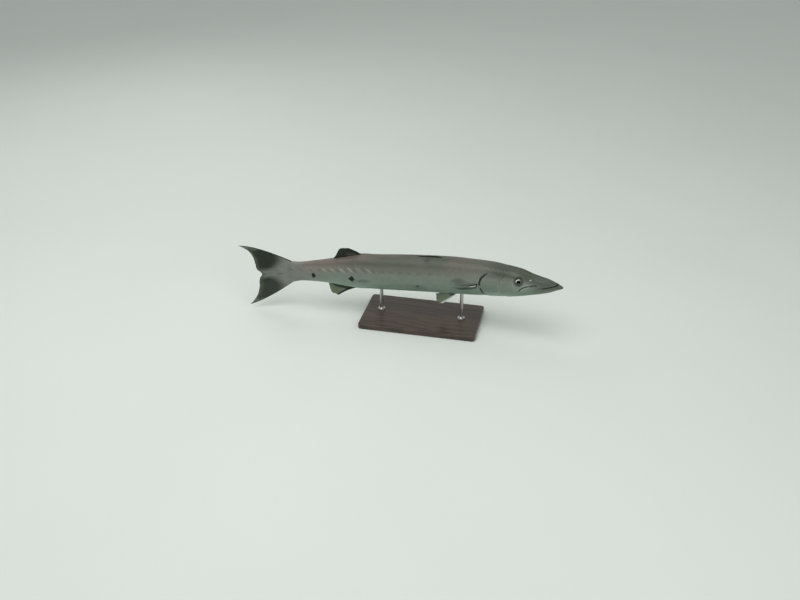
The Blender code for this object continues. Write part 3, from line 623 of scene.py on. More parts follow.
# Dark spots: aft, up, half length, half height, strength, corners (1 for a diamond), side (1 left,
# -1 right, 0 both)
spots = (
    (0.8498, -0.0070, 0.0068, 0.0098, 1.00, 0.0, -1), (0.7122, -0.0120, 0.0125, 0.0125, 1.00, 1.0, -1),
    (0.6720, -0.0180, 0.0220, 0.0070, 0.38, 0.0, -1), (0.3400, 0.0034, 0.0200, 0.0085, 0.46, 0.0, -1),
    (0.4812, -0.0265, 0.0062, 0.0056, 0.62, 0.0, -1), (0.4477, 0.0585, 0.0105, 0.0038, 0.46, 0.0, 0),
    (0.4780, -0.0310, 0.0210, 0.0090, 0.24, 0.0, -1),
    (0.5384, 0.0190, 0.0046, 0.0038, 0.32, 0.6, -1), (0.5082, 0.0200, 0.0040, 0.0036, 0.28, 0.6, -1),
    (0.4327, 0.0220, 0.0046, 0.0038, 0.30, 0.6, -1), (0.7800, -0.0130, 0.0085, 0.0075, 0.95, 0.0, 1),
    (0.8720, -0.0040, 0.0055, 0.0060, 1.00, 0.0, 1), (0.6400, -0.0200, 0.0110, 0.0070, 0.80, 0.5, 1),
    (0.5600, -0.0300, 0.0060, 0.0050, 0.45, 0.0, 1), (0.7450, -0.0220, 0.0040, 0.0035, 0.60, 0.0, 1),
)


def makeSpotGroup():
    # 1 inside a shape whose edge wavers, 0 outside it. The distance is the offset over the sizes, its
    # length for a round spot or the sum of its parts for a diamond, plus a waver, through a smooth step.
    group, given, result = newGroup(
        "spotMask", {"Place": "Vector", "Centre": "Vector", "Stretch": "Vector", "Corners": "Float",
                     "Waver": "Float", "Softness": "Float"}, {"Mask": "Float"})
    offset = addVector(group, "SUBTRACT", given["Place"], given["Centre"])
    scaled = addVector(group, "ABSOLUTE", addVector(group, "MULTIPLY", offset, given["Stretch"]))
    length = addVector(group, "LENGTH", scaled, output="Value")
    total = addVector(group, "DOT_PRODUCT", scaled, (1.0, 1.0, 1.0), output="Value")
    extra = addMath(group, "MULTIPLY", addMath(group, "SUBTRACT", total, length), given["Corners"])
    wavered = addMath(group, "ADD", addMath(group, "ADD", length, extra), given["Waver"])
    outer = addMath(group, "ADD", 1.0, given["Softness"])
    inner = addMath(group, "SUBTRACT", 1.0, given["Softness"])
    group.links.new(addStep(group, wavered, outer, inner), result["Mask"])
    return group


spotGroup = makeSpotGroup()


def makeMarkingsGroup():
    # The fish's colour at a place: a ramp from belly to back, a saw-toothed border to the browner back
    # with pale slants on it, the darker head top and snout, the warm stalk with a painted highlight on it,
    # and the dark spots
    group, given, result = newGroup(
        "fishMarkings", {"Place": "Vector", "Share": "Float"},
        {"Colour": "Color", "Silver": "Float", "Dark": "Float"})
    place, share = given["Place"], given["Share"]
    aft, across, up = addNode(group, "ShaderNodeSeparateXYZ", {0: place}).outputs
    mottle = addNoise(group, addStretch(group, place, pattern["mottleStretch"]), *pattern["mottle"])
    cloud = addNoise(group, addStretch(group, place, pattern["cloudStretch"]), *pattern["cloud"])
    half = addMath(group, "ADD", addMath(group, "MULTIPLY", share, 0.5), 0.5)
    level = addMath(group, "ADD", half, addWander(group, mottle, pattern["mottleOnLevel"]))
    # The teeth: a saw along the body that leans by the height, with a border of its own height in each
    slanted = addMath(group, "SUBTRACT", aft, addMath(group, "MULTIPLY", up, pattern["toothSlope"]))
    tooth = addMath(group, "DIVIDE", slanted, pattern["toothPeriod"])
    tooth = addMath(group, "ADD", tooth, addMath(group, "MULTIPLY", mottle, pattern["toothWander"]))
    tooth = addMath(group, "FRACT", tooth)
    border = addWander(group, tooth, -pattern["toothDepth"])
    above = addMath(group, "SUBTRACT", addMath(group, "SUBTRACT", share, border), pattern["toothShare"])
    values = {"aft": aft, "share": share, "level": level, "tooth": tooth, "above": above,
              "mottle": mottle, "cloud": cloud}

    def mask(key):
        return addMask(group, *((values[name], *edges) for name, *edges in masks[key]))

    colour = addRamp(group, level, colours["ramp"])
    colour = addMix(group, mask("stalkEnd"), colour, colours["stalkEnd"])
    olive = addMath(group, "MULTIPLY", mask("olive"), pattern["oliveOverBrown"])
    brown = addMath(group, "SUBTRACT", mask("brown"), olive, clamp=True)
    tint = addMix(group, brown, colours["backOlive"], colours["backBrown"])
    tint = addMix(group, mask("stalk"), tint, colours["stalk"])
    tintShare = addMath(group, "ADD", mask("lowTint"), mask("highTint"))
    colour = addMix(group, addMath(group, "MULTIPLY", tintShare, mask("torso")), colour, tint)
    # stalkHighlight among these is a painted highlight
    for key in ("stalkHighlight", "slant", "tooth", "headTop", "jaw", "snout"):
        colour = addMix(group, mask(key), colour, colours[key])

    waver = addWander(group, addNoise(group, place, *pattern["waver"]), pattern["waverWidth"])
    dark = None
    sides = {0: 1.0, 1: addStep(group, across, 0.0, 0.002), -1: addStep(group, across, 0.0, -0.002)}
    for spotAft, spotUp, halfLong, halfHigh, strength, corners, side in spots:
        softness = pattern["softEdge"] if strength < pattern["softBelow"] else pattern["sharpEdge"]
        inside = addGroup(group, spotGroup, {
            "Place": place, "Centre": (spotAft, 0.0, spotUp), "Stretch": (1 / halfLong, 0.0, 1 / halfHigh),
            "Corners": corners, "Waver": waver, "Softness": softness})["Mask"]
        inside = addProduct(group, inside, strength, sides[side])
        dark = inside if dark is None else addMath(group, "MAXIMUM", dark, inside)
    values["dark"] = dark
    colour = addMix(group, dark, colour, colours["spot"])
    brightness = addStep(group, mottle, *pattern["brightness"])
    group.links.new(addScale(group, colour, brightness), result["Colour"])
    group.links.new(mask("silver"), result["Silver"])
    group.links.new(dark, result["Dark"])
    return group


markingsGroup = makeMarkingsGroup()


def makeGrainGroup():
    # Coarse and fine noise added up, for pores and small wrinkles
    group, given, result = newGroup(
        "fineGrain", {"Place": "Vector", "Coarse": "Float", "Fine": "Float"}, {"Height": "Float"})
    coarse = addNoise(group, given["Place"], given["Coarse"], 3.0)
    fine = addNoise(group, given["Place"], given["Fine"], 2.0, 0.7)
    height = addMath(group, "ADD", addProduct(group, fine, 0.35), coarse)
    group.links.new(height, result["Height"])
    return group


grainGroup = makeGrainGroup()


# Skin of the head and body

head = {
    "gape": (                   # the line of the mouth, aft and up
        (0.0182, -0.0052), (0.0367, -0.0100), (0.0561, -0.0137), (0.0800, -0.0175),
        (0.1000, -0.0208), (0.1200, -0.0242), (0.1400, -0.0275),
    ),
    "arch": (                   # upper edge of the plate over the corner of the mouth
        (0.0520, -0.0115), (0.0700, -0.0070), (0.0842, -0.0050), (0.1050, -0.0070),
        (0.1220, -0.0115), (0.1340, -0.0190), (0.1400, -0.0262),
    ),
    "hinge": (0.160, -0.075),
    "eye": (0.140, 0.0082), "nostrils": ((0.0950, 0.0128, 0.0009), (0.1027, 0.0172, 0.0015)),
    "nostrilDepth": 0.0016, "foldSpacing": 0.0068, "foldSlope": 0.30,
    "fanRays": 34, "fanCentre": (0.196, 0.006),
    "snoutRidge": (0.06, 0.0022, 0.10), "coverRidge": (0.21, 0.004, -0.16),     # aft, up, slope
}
rises = (                       # metres that the skin stands out, and its factors as weigh takes them
    # The groove of the mouth, which fades towards its corner, and the lip over it
    (-0.0017, (bell, "fromMouth", 0, 0.0008), (lessStep, "aft", 0.052, 0.078, 0.75),
     (smoothStep, "aft", 0.146, 0.138)),
    (0.0011, (bell, "fromMouth", 0.0026, 0.0014), (lessStep, "aft", 0.052, 0.078, 0.75),
     (smoothStep, "aft", 0.146, 0.138)),
    # The plate over the corner of the mouth, the crease along its upper edge, and the jaw's hinge
    (0.0011, (smoothStep, "fromArch", 0.0005, -0.0005), (window, "aft", 0.078, 0.1395, 0.010), "overMouth"),
    (-0.0006, (bell, "fromArch", 0.0009, 0.0008), (window, "aft", 0.082, 0.1385, 0.010)),
    (0.0005, (bell, "fromHinge", 0.004, 0.003), (smoothStep, "up", -0.0265, -0.031)),
    (-0.0010, (bell, "fromHinge", 0, 0.0011), (smoothStep, "up", -0.0265, -0.031)),
    # The eye's socket with a low fold round it, and the brow
    (-0.0020, (smoothStep, "fromEye", 0.0112, 0.0090)),
    (0.0007, (bell, "fromEye", 0.0165, 0.0035)),
    (0.0014, (bell, "aft", 0.142, 0.030), (bell, "up", 0.0255, 0.0050)),
    # Two ridges with a hollow between them on top of the snout, a ridge along its side, and the cheek
    (0.0011, (bell, "out", 0.0125, 0.0042), (smoothStep, "share", 0.70, 0.92),
     (window, "aft", 0.060, 0.165, 0.025)),
    (-0.0016, (bell, "out", 0, 0.0075), (smoothStep, "share", 0.70, 0.92),
     (window, "aft", 0.060, 0.165, 0.025)),
    (0.0008, (bell, "fromSnoutRidge", 0, 0.0035), (window, "aft", 0.045, 0.115, 0.012)),
    (0.0016, (bell, "aft", 0.172, 0.017), (bell, "up", -0.022, 0.018)),
    # The cheek's raised edge, fine rays in a fan over the gill cover, and the ridge along it
    (0.0005, (bell, "fromCheekEdge", -0.0030, 0.0022), "free"),
    (0.00010, "fan", (window, "nominal", 0.212, 0.254, 0.008), "free", (smoothStep, "share", -0.62, -0.45)),
    (0.0007, (bell, "fromCoverRidge", 0, 0.0022), (window, "nominal", 0.210, 0.258, 0.006)),
    # Folds along the throat, and the groove between the two bones of the lower jaw
    (0.00022, "folds", (smoothStep, "out", 0.004, 0.010), (smoothStep, "share", -0.58, -0.72),
     (window, "aft", 0.155, 0.236, 0.018)),
    (0.0008, (bell, "out", 0.0085, 0.0030), (smoothStep, "share", -0.80, -0.93),
     (window, "aft", 0.030, 0.200, 0.020)),
    (-0.0016, (bell, "out", 0, 0.0026), (smoothStep, "share", -0.80, -0.93),
     (window, "aft", 0.030, 0.200, 0.020)),
)
gapeUp = readCurve(head["gape"], 1)
archUp = readCurve(head["arch"], 1)
mouthStart, mouthEnd = head["gape"][0], head["gape"][-1]


def mouthDistance(aft, up):
    # Distance from the mouth line on the side, or from its way straight up round the snout's front
    over = np.maximum(aft - mouthEnd[0], 0) + np.maximum(mouthStart[0] - aft, 0)
    side = np.hypot(up - gapeUp(aft), over)
    front = np.hypot(aft - mouthStart[0], np.maximum(mouthStart[1] - up, 0))
    return np.minimum(side, front)


def archDistance(aft, up):
    # Distance above the arch: the height over it, shortened by its slope
    slope = (archUp(aft + 0.0005) - archUp(aft - 0.0005)) / 0.001
    return (up - archUp(aft)) / np.sqrt(1 + slope ** 2)


def skinFrame(aft, up, side, step):
    # A place on the skin, the way it faces, from the slopes of the half width, and the way forward on it
    slopeUp = float(flankWidth(aft, up + step) - flankWidth(aft, up - step)) / (2 * step)
    slopeAft = float(flankWidth(aft + step, up) - flankWidth(aft - step, up)) / (2 * step)
    facing = normalised(np.array([slopeAft, side, -slopeUp]))
    forward = normalised(np.array([1.0, 0, 0]) - facing * facing[0])
    return np.array([-aft, side * float(flankWidth(aft, up)), up]), facing, forward


def distanceOnSkin(point, aft, up):
    # Distance from a place on the nearer side of the head
    place = np.array([-aft, float(flankWidth(aft, up)), up])
    return np.linalg.norm(point * np.array([1, 0, 1]) + np.abs(point) * np.array([0, 1, 0]) - place, axis=-1)


def fromRidge(aft, up, ridge):
    # Height over a straight ridge: up less the ridge's height at the same place
    ridgeAft, ridgeUp, slope = ridge
    return up - ridgeUp - slope * (aft - ridgeAft)


def headValues(nominal, point, turn):
    # Places and distances on the head that the rises and creases are made of
    aft, out, up = -point[..., 0], np.abs(point[..., 1]), point[..., 2]
    hingeAft, hingeUp = head["hinge"]
    fanAft, fanUp = head["fanCentre"]
    return {
        "nominal": nominal, "aft": aft, "out": out, "up": up, "share": shareOfHeight(turn),
        "free": gillSide(turn), "fromMouth": mouthDistance(aft, up), "overMouth": up > gapeUp(aft),
        "fromArch": archDistance(aft, up), "fromEye": distanceOnSkin(point, *head["eye"]),
        "fromHinge": aft - np.interp(-up, [-mouthEnd[1], -hingeUp], [mouthEnd[0], hingeAft]),
        "fromCheekEdge": nominal - gill["cheekEdge"],
        "fromSnoutRidge": fromRidge(aft, up, head["snoutRidge"]),
        "fromCoverRidge": fromRidge(aft, up, head["coverRidge"]),
        "fan": np.sin(np.arctan2(up - fanUp, aft - fanAft) * head["fanRays"]),
        "folds": np.sin((up + head["foldSlope"] * aft) * (2 * np.pi / head["foldSpacing"])),
    }


def headRelief(nominal, point, turn):
    # Metres that the skin stands out: the sum of the rises, less the nostrils' cups
    values = headValues(nominal, point, turn)
    relief = sum(weigh(values, *rise) for rise in rises)
    for nostrilAft, nostrilUp, radius in head["nostrils"]:
        fromNostril = distanceOnSkin(point, nostrilAft, nostrilUp)
        relief = relief - head["nostrilDepth"] * smoothStep(fromNostril, radius * 1.3, radius * 0.6)
    return relief


paintedLight = {                       # painted shade in the nostrils and the gill's cleft and how dark it is, the nostril's painted glint, and where
    "nostril": 0.9, "gillUpper": 1.0, "gillLower": 0.95, "gillRest": 0.12, "gillBefore": 0.0016,
    "gillSoft": 0.0014, "upperStroke": (-0.09, 0.60, 0.05), "lowerStroke": (-1.2, -0.29, 0.05),
    "gillBehind": (             # height as a share, how far back the dark reaches
        (-0.90, 0.0064), (-0.35, 0.0040), (-0.18, 0.0036), (0.10, 0.0042), (0.30, 0.0060), (0.60, 0.0090),
    ),
    "nostrilShade": (0.1027, 0.0196), "nostrilGlint": (0.1023, 0.0126, 0.0036, 0.0021),
    "least": (0.05, 0.08),      # the faintest painted glint and the faintest painted shade that count
}
creaseShades = (                     # how dark the painted shade in each crease is, and its factors
    (1.0, (bell, "fromMouth", 0, 0.0024), (lessStep, "aft", 0.056, 0.072, 0.90),
     (smoothStep, "aft", 0.146, 0.138)),
    (1.0, (bell, "fromArch", 0.0002, 0.0017), (window, "aft", 0.084, 0.1385, 0.006),
     (lessBell, "aft", 0.1065, 0.0022, 0.6)),
    (0.18, (bell, "fromCheekEdge", 0.0006, 0.0012), "free"),
    # Painted shade in a ring round the eye's socket
    (0.80, (window, "fromEye", 0.0085, 0.0124, 0.0060)),
    (0.60, (bell, "fromShade", 0, 0.0030)),
)
archHighlights = (                   # how strong the painted highlight beside the arch's crease is, and its factors
    (0.60, (bell, "fromArch", -0.0040, 0.0018), (window, "aft", 0.112, 0.132, 0.008)),
    (0.60, (bell, "fromArch", 0.0038, 0.0016), (window, "aft", 0.112, 0.132, 0.008)),
)


def gillCleftShade(nominal, turn):
    # Painted shade in the cleft behind the gill cover: two dark strokes, above and below the pectoral fin's
    # root
    share = shareOfHeight(turn)
    upper = paintedLight["gillUpper"] * window(share, *paintedLight["upperStroke"])
    lower = paintedLight["gillLower"] * window(share, *paintedLight["lowerStroke"])
    behind = np.interp(share, *np.transpose(paintedLight["gillBehind"]))
    offset = nominal - gill["edge"]
    across = smoothStep(offset, -2 * paintedLight["gillBefore"], -0.3 * paintedLight["gillBefore"])
    across = across * (1 - smoothStep(offset, behind, behind + paintedLight["gillSoft"]))
    return np.maximum(np.maximum(upper, lower), paintedLight["gillRest"]) * across * gillSide(turn)


def paintedShadeAndHighlight(nominal, point, turn):
    # The darkest painted shade of the creases at a place, or below 0 the painted highlights beside them and
    # the nostril's painted glint
    values = headValues(nominal, point, turn)
    values["fromShade"] = distanceOnSkin(point, *paintedLight["nostrilShade"])
    dark = [weigh(values, *crease) for crease in creaseShades] + [gillCleftShade(nominal, turn)]
    # Painted shade in each nostril's pit
    for aft, up, radius in head["nostrils"]:
        dark.append(paintedLight["nostril"] * bell(distanceOnSkin(point, aft, up), 0, radius * 0.9))
    dark = np.maximum.reduce(np.broadcast_arrays(*dark))
    paintedHighlight = sum(weigh(values, *band) for band in archHighlights)
    glintAft, glintUp, halfLong, halfHigh = paintedLight["nostrilGlint"]
    glint = np.hypot((values["aft"] - glintAft) / halfLong, (values["up"] - glintUp) / halfHigh)
    glint = smoothStep(glint, 1.0, 0.65)
    leastGlint, leastDark = paintedLight["least"]
    return np.where(glint > leastGlint, -glint, np.where(dark > leastDark, dark, -paintedHighlight))


skin = {
    "headStep": 0.00092, "bodyStep": 0.0031, "lowerColumns": 36, "upperColumns": 52, "mouthColumn": 0.40,
    # foldShade is painted shade deep in the fold under the gill cover
    "lowerPower": 1.5, "upperPower": 1.35, "coatDepth": 0.00030, "foldSpread": 0.0008, "foldShade": 0.30,
    "foldAft": (0.0, 0.0006, 0.0007, -0.0004, -0.0040, -0.0060, -0.0020, 0.0022, 0.0058),
    "foldSwell": (0.012, 0.005, -0.006, -0.016, -0.024, -0.036, -0.041, -0.037, -0.031),
    "tipRows": (
        0.0002, 0.0010, 0.0024, 0.0042, 0.0064, 0.0088, 0.0112, 0.0134, 0.0152, 0.0164, 0.0172,
        0.0177, 0.0182, 0.0187, 0.0192, 0.0199, 0.0208, 0.0220,
    ),
    "faceStart": 0.0229, "cheekRows": (-0.0006, -0.0002, 0.0, 0.0002, 0.0006, 0.0012), "nearEdge": 0.0004,
    "shoulderRows": (0.2705, 0.300, 0.0020), "bodyStart": 0.302, "napeFade": (0.172, 0.182),
    "endRows": (0.003, 0.007, 0.012, 0.017, 0.022, 0.0258),
}


def scaledShare(nominal, turn):
    # 1 where the large scales grow: the body and the nape
    behind = smoothStep(nominal, gill["edge"], gill["edge"] + 0.002)
    nape = smoothStep(nominal, *skin["napeFade"]) * (1 - smoothStep(gillSide(turn), 0.2, 0.5))
    return np.clip(behind + nape, 0, 1)


def skinRows():
    # Rings of the skin: close together at the tip, the snout's front and the cheek's edge
    cheek = gill["cheekEdge"] + np.array(skin["cheekRows"])
    face = np.arange(skin["faceStart"], gill["cheekEdge"] - skin["cheekRows"][-1], skin["headStep"])
    cover = np.arange(cheek[-1] + skin["headStep"], gill["edge"] - skin["nearEdge"], skin["headStep"])
    shoulder = np.arange(*skin["shoulderRows"])
    count = round((body["end"] - skin["bodyStart"]) / skin["bodyStep"])
    rest = np.linspace(skin["bodyStart"], body["end"], count)
    overTail = body["end"] + np.array(skin["endRows"])
    return np.concatenate([skin["tipRows"], face, cheek, cover]), np.concatenate([shoulder, rest, overTail])


def riseAtHeight(aft, up):
    # The share of the way from belly to back at a height, from the table's nearest section
    return np.interp(up, heightTable[int(round(aft / tableAft[1]))], tableRise)


def skinColumns(aft):
    # Shares from belly to back, close together at the mouth line, one column lying on it
    low = np.linspace(0, 1, skin["lowerColumns"] + 1)[:-1]
    high = np.linspace(0, 1, skin["upperColumns"] + 1)
    onMouth = np.array([riseAtHeight(each, gapeUp(each)) for each in aft])
    behind = 1 - smoothStep(aft, mouthEnd[0], 0.215)
    even = riseAtHeight(*mouthEnd) * behind + skin["mouthColumn"] * (1 - behind)
    line = np.where(aft < mouthEnd[0], onMouth, even)[:, None]
    lower = line * (1 - (1 - low[None, :]) ** skin["lowerPower"])
    upper = line + (1 - line) * high[None, :] ** skin["upperPower"]
    return np.concatenate([lower, upper], axis=1)


def bothSides(left, sign=1):
    # The left side from belly to back, then the right side back down again
    return np.concatenate([left, left[:, -2:0:-1] * sign], axis=1)


def makeSkin():
    # Rings of the body, swollen into cheek and gill cover, with the relief added along the normal. At the
    # gill's edge they turn in and forward under the cover and come out again as the body.
    headRows, bodyRows = skinRows()
    fold = len(skin["foldAft"])
    nominal = np.concatenate([headRows, np.full(fold, gill["edge"]), bodyRows])[:, None]
    foldIndex = np.zeros_like(nominal)
    inFold = np.zeros_like(nominal, bool)
    foldIndex[len(headRows):len(headRows) + fold, 0] = np.arange(fold)
    inFold[len(headRows):len(headRows) + fold] = True
    foldAft = np.interp(foldIndex, np.arange(fold), skin["foldAft"]) * inFold
    foldSwell = np.interp(foldIndex, np.arange(fold), skin["foldSwell"])

    rise = skinColumns(np.clip(nominal[:, 0], 0, tableAft[-1]))
    turn = turnAt(nominal, rise)
    free = gillSide(turn)
    shift = gillShift(turn) * np.where(inFold, 1.0, shiftFade(nominal))
    aft = nominal + shift + foldAft * free + skin["foldSpread"] * foldIndex * (1 - free)
    base = bodyPoint(aft, turn, np.where(inFold, 1 + foldSwell * free, swellAt(nominal, turn)))
    relief = headRelief(nominal, base, turn) - skin["coatDepth"] * scaledShare(nominal, turn)
    points = bothSides(base + bodyNormal(aft, turn) * relief[..., None], mirror)
    # The tone is painted shade in the creases, the gill's cleft and the nostrils, and below 0 painted
    # highlight
    tone = paintedShadeAndHighlight(nominal + foldAft * free, base, turn)
    # Deep in the fold under the gill cover the tone is painted shade
    deep = free * inFold * smoothStep(foldIndex, 1.0, 3.0)
    tone = np.where(deep > 0.02, np.maximum(skin["foldShade"], tone) * deep, tone)

    rows, columns = points.shape[:2]
    poles = np.array([[0.0006, 0, float(middleUp(0))], [-body["coverEnd"] - 0.0005, 0, 0]])
    straight = np.concatenate([points.reshape(-1, 3), poles])
    faces = gridFaces(rows, columns, closed=True)
    faces += poleFaces(np.arange(columns), rows * columns, backwards=True)
    faces += poleFaces(np.arange(columns) + (rows - 1) * columns, rows * columns + 1)
    share, tone = (np.append(bothSides(each).ravel(), [0, 0]) for each in (shareOfHeight(turn), tone))
    return makePiece("fishSkin", straight, faces, share=share, tone=tone)


fishSkin = makeSkin()


# Finish of the skin

# darkColour is the colour of the painted shade, highlightColour that of the painted highlight
skinFinish = {
    "darkColour": (0.004, 0.005, 0.004), "highlightColour": (0.42, 0.45, 0.39), "roughness": (0.38, 0.54),
    "silver": 0.16, "specular": 0.30, "coat": 0.42, "coatRoughness": 0.28,
    "grain": 420.0, "grainDepth": 0.00020, "fleckColour": (0.07, 0.075, 0.06), "flecks": 0.22,
}


def makeSkinMaterial(name, cells, depth):
    # Markings, with painted shade in creases and painted highlights beside them, with fine grain in the bump
    # and roughness
    material, tree, sockets = newMaterial(
        name, Specular_IOR_Level=skinFinish["specular"], Coat_Roughness=skinFinish["coatRoughness"])
    place, tone = readValue(tree, "place", "Vector"), readValue(tree, "tone")
    marks = addGroup(tree, markingsGroup, {"Place": place, "Share": readValue(tree, "share")})
    # Below 0 the tone is painted highlight, above 0 painted shade
    paintedHighlight = addMath(tree, "MULTIPLY", tone, -1.0, clamp=True)
    colour = addMix(tree, paintedHighlight, marks["Colour"], skinFinish["highlightColour"])
    colour = addMix(tree, addMath(tree, "MULTIPLY", tone, 0.97, clamp=True), colour, skinFinish["darkColour"])
    grain = addGroup(tree, grainGroup, {"Place": place, "Coarse": cells, "Fine": cells * 3.6})["Height"]
    silver = addProduct(tree, marks["Silver"], skinFinish["silver"], addStep(tree, tone, 0.5, 0.0))
    tree.links.new(silver, sockets["Metallic"])
    gloss = addMask(tree, (marks["Dark"], 1.0, 0.2), (tone, 0.8, 0.1, 0.0, skinFinish["coat"]))
    tree.links.new(gloss, sockets["Coat Weight"])
    finish(tree, sockets, colour, (grain, depth, 0.6), (grain, 0.3, 0.9, *skinFinish["roughness"]))
    return material, tree, sockets, colour


def makeHeadSkinMaterial():
    # The skin with small dark flecks as well
    made = makeSkinMaterial("fishSkin", skinFinish["grain"], skinFinish["grainDepth"])
    material, tree, sockets, colour = made
    fleck = addNoise(tree, readValue(tree, "place", "Vector"), 620.0, 2.0)
    fleck = addStep(tree, fleck, 0.60, 0.74, 0.0, skinFinish["flecks"])
    tree.links.new(addMix(tree, fleck, colour, skinFinish["fleckColour"]), sockets["Base Color"])
    return material


skinMaterial = makeHeadSkinMaterial()
dress(fishSkin, skinMaterial, "skin", "head", "lower_jaw", "torso_front", "torso_rear", "tail_stalk")


# Scales

scales = {
    "columnsPerSide": 23, "pitch": 0.0042, "start": 0.172, "end": 0.936, "lengthInPitches": 2.7,
    "widthInColumns": 1.16, "sink": 0.00008, "rise": 0.00030, "crown": 0.00006, "thickness": 0.00011,
    "outline": 12, "innerRing": 0.60, "jitter": 0.05, "patch": 0.003, "emerge": 0.030, "clearOfGill": 0.0036,
    "pieces": (("Nape", 0.0, 0.40), ("Middle", 0.40, 0.57), ("Rear", 0.57, 0.73), ("Stalk", 0.73, 0.85),
               ("TailRoot", 0.85, 1.0)),
}
cheekScales = {
    "columnsPerSide": 37, "pitch": 0.0023, "start": 0.152, "end": 0.2595, "lengthInPitches": 2.7,
    "widthInColumns": 1.20, "sink": -0.00004, "rise": 0.00014, "crown": 0.00005, "thickness": 0.00018,
    "outline": 8, "innerRing": 0.0, "jitter": 0.05, "patch": 0.003, "emerge": 0.004,
    "clearOfEye": 0.0190, "clearOfEdges": 0.0045, "clearOfGill": 0.005, "lowest": 0.30, "cheekTop": 0.68,
    "coverTop": 0.725, "frontSlope": 30,
}


def scaleRings(kind, grow):
    # Places whose spacing follows the pitch: the sum of 1 over the pitch reaches whole numbers there
    fine = np.linspace(kind["start"], kind["end"], 2000)
    pitch = kind["pitch"] * grow(fine)
    count = np.concatenate([[0], np.cumsum((1 / pitch[1:] + 1 / pitch[:-1]) / 2 * np.diff(fine))])
    whole = np.arange(int(count[-1]) + 1)
    return np.interp(whole, count, fine), np.interp(whole, count, pitch)


def scaleRoots(kind, grow, seed):
    # Every other ring is set half a column round; each root is a ring's place, a share of the way from
    # belly to back, a side and the pitch there
    random = np.random.default_rng(seed)
    rings, pitch = scaleRings(kind, grow)
    perSide = kind["columnsPerSide"]
    roots = []
    for i in range(len(rings)):
        half = 0.5 if i % 2 == 0 else 0.0
        for side in (1, -1):
            first = 1 if (side < 0 and not half) else 0
            last = perSide if (side > 0 and not half) else perSide - 1
            column = np.arange(first, last + 1) + half
            ones = np.ones_like(column)
            roots.append(np.stack([rings[i] * ones, column / perSide, side * ones, pitch[i] * ones], axis=-1))
    roots = np.concatenate(roots)
    wobble = random.normal(0, 1, (len(roots), 4))
    return roots, wobble


def growScales(name, roots, wobble, kind):
    # Each scale is a rounded plate: a centre, an inner ring and an outline on top, and the outline again
    # below. It rises evenly to its free rear edge and curves down to its sides, and follows the body.
    nominal, rise, side, pitch = roots.T
    turn = turnAt(nominal, rise)
    rootAft = nominal + gillShift(turn) * shiftFade(nominal) + wobble[:, 0] * kind["jitter"] * pitch
    size = 1 + 0.5 * kind["jitter"] * wobble[:, 1]
    length = kind["lengthInPitches"] * pitch * size
    width = kind["widthInColumns"] / kind["columnsPerSide"] * (1 + 0.5 * kind["jitter"] * wobble[:, 2])

    angle = ringAngles(kind["outline"])
    ringAlong, ringAcross = (0.5 * np.sign(wave) * np.abs(wave) ** power
                             for wave, power in ((np.cos(angle), 0.85), (np.sin(angle), 0.80)))
    rings = [kind["innerRing"], 1, 1] if kind["innerRing"] else [1, 1]
    along, across = (np.concatenate([[0.0]] + [wave * ring for ring in rings])
                     for wave in (ringAlong, ringAcross))
    below = np.zeros(len(along))
    below[-kind["outline"]:] = kind["thickness"]

    aft = rootAft[:, None] + along * length[:, None]
    riseHere = rise[:, None] + across * width[:, None]
    # Past the belly or back line a scale goes on over the other side
    over = (riseHere < 0) | (riseHere > 1)
    sideHere = np.where(over, -side[:, None], side[:, None])
    riseHere = np.where(riseHere < 0, -riseHere, np.where(riseHere > 1, 2 - riseHere, riseHere))
    aftHere = np.clip(aft, 0, tableAft[-1])
    turnHere = turnAt(aftHere, riseHere)
    nominalHere = nominalAft(aftHere, turnHere)
    onBody = np.maximum(nominalHere, gill["edge"] + 1e-4)
    onHead = np.where(gillSide(turnHere) > 0.01, np.minimum(nominalHere, gill["edge"]), nominalHere)
    nominalHere = np.where(nominal[:, None] > gill["edge"], onBody, onHead)
    base = bodyPoint(aftHere, turnHere, swellAt(nominalHere, turnHere))
    relief = headRelief(nominalHere, base, turnHere)
    emerging = smoothStep(nominal, kind["start"], kind["start"] + kind["emerge"])[:, None]
    lift = emerging * kind["rise"] * (along + 0.5) - kind["crown"] * (2 * across) ** 2 - kind["sink"] - below
    lift = lift + relief + 0.00003 * wobble[:, 3:4] * (along + 0.5)
    straight = base + bodyNormal(aftHere, turnHere) * lift[..., None]
    straight[..., 1] *= sideHere

    count, each = straight.shape[:2]
    outline = kind["outline"]
    ring = np.arange(outline)
    following = np.roll(ring, -1)
    plate = [[0, 1 + a, 1 + b] for a, b in zip(ring, following)]
    for low in range(1, each - outline, outline):
        plate += [[low + a, low + outline + a, low + outline + b, low + b] for a, b in zip(ring, following)]
    plate.append([each - outline + a for a in ring[::-1]])
    offsets = np.arange(count)[:, None] * each
    faces = []
    for face in plate:
        faces += (offsets + np.array(face)).tolist()

    piece = makePiece(
        name, straight, faces, share=shareOfHeight(turnHere).ravel(),
        tone=gillCleftShade(nominalHere, turnHere).ravel(), shade=np.repeat(wobble[:, 3], each),
        scaleAlong=np.tile(along, count), scaleAcross=np.tile(across, count))
    # The skin unrolled, belly line at both edges, each scale a small patch at its root's place
    u = 0.01 + 0.97 * rootAft / body["coverEnd"]
    v = 0.5 + side * (1 - rise) * 0.49
    uv = np.stack([u[:, None] + kind["patch"] * along, v[:, None] + kind["patch"] * across], axis=-1)
    corners = np.empty(len(piece.data.loops), np.int32)
    piece.data.loops.foreach_get("vertex_index", corners)
    layer = piece.data.uv_layers.new(name="OFBake")
    layer.data.foreach_set("uv", uv.reshape(-1, 2)[corners].astype(np.float32).ravel())
    return piece


def bodyScaleGrowth(aft):
    # Scales are as long for their width everywhere, so they grow and shrink with the girth
    return np.clip(halfGirth(aft) / halfGirth(0.42), 0.5, 1) ** 0.9


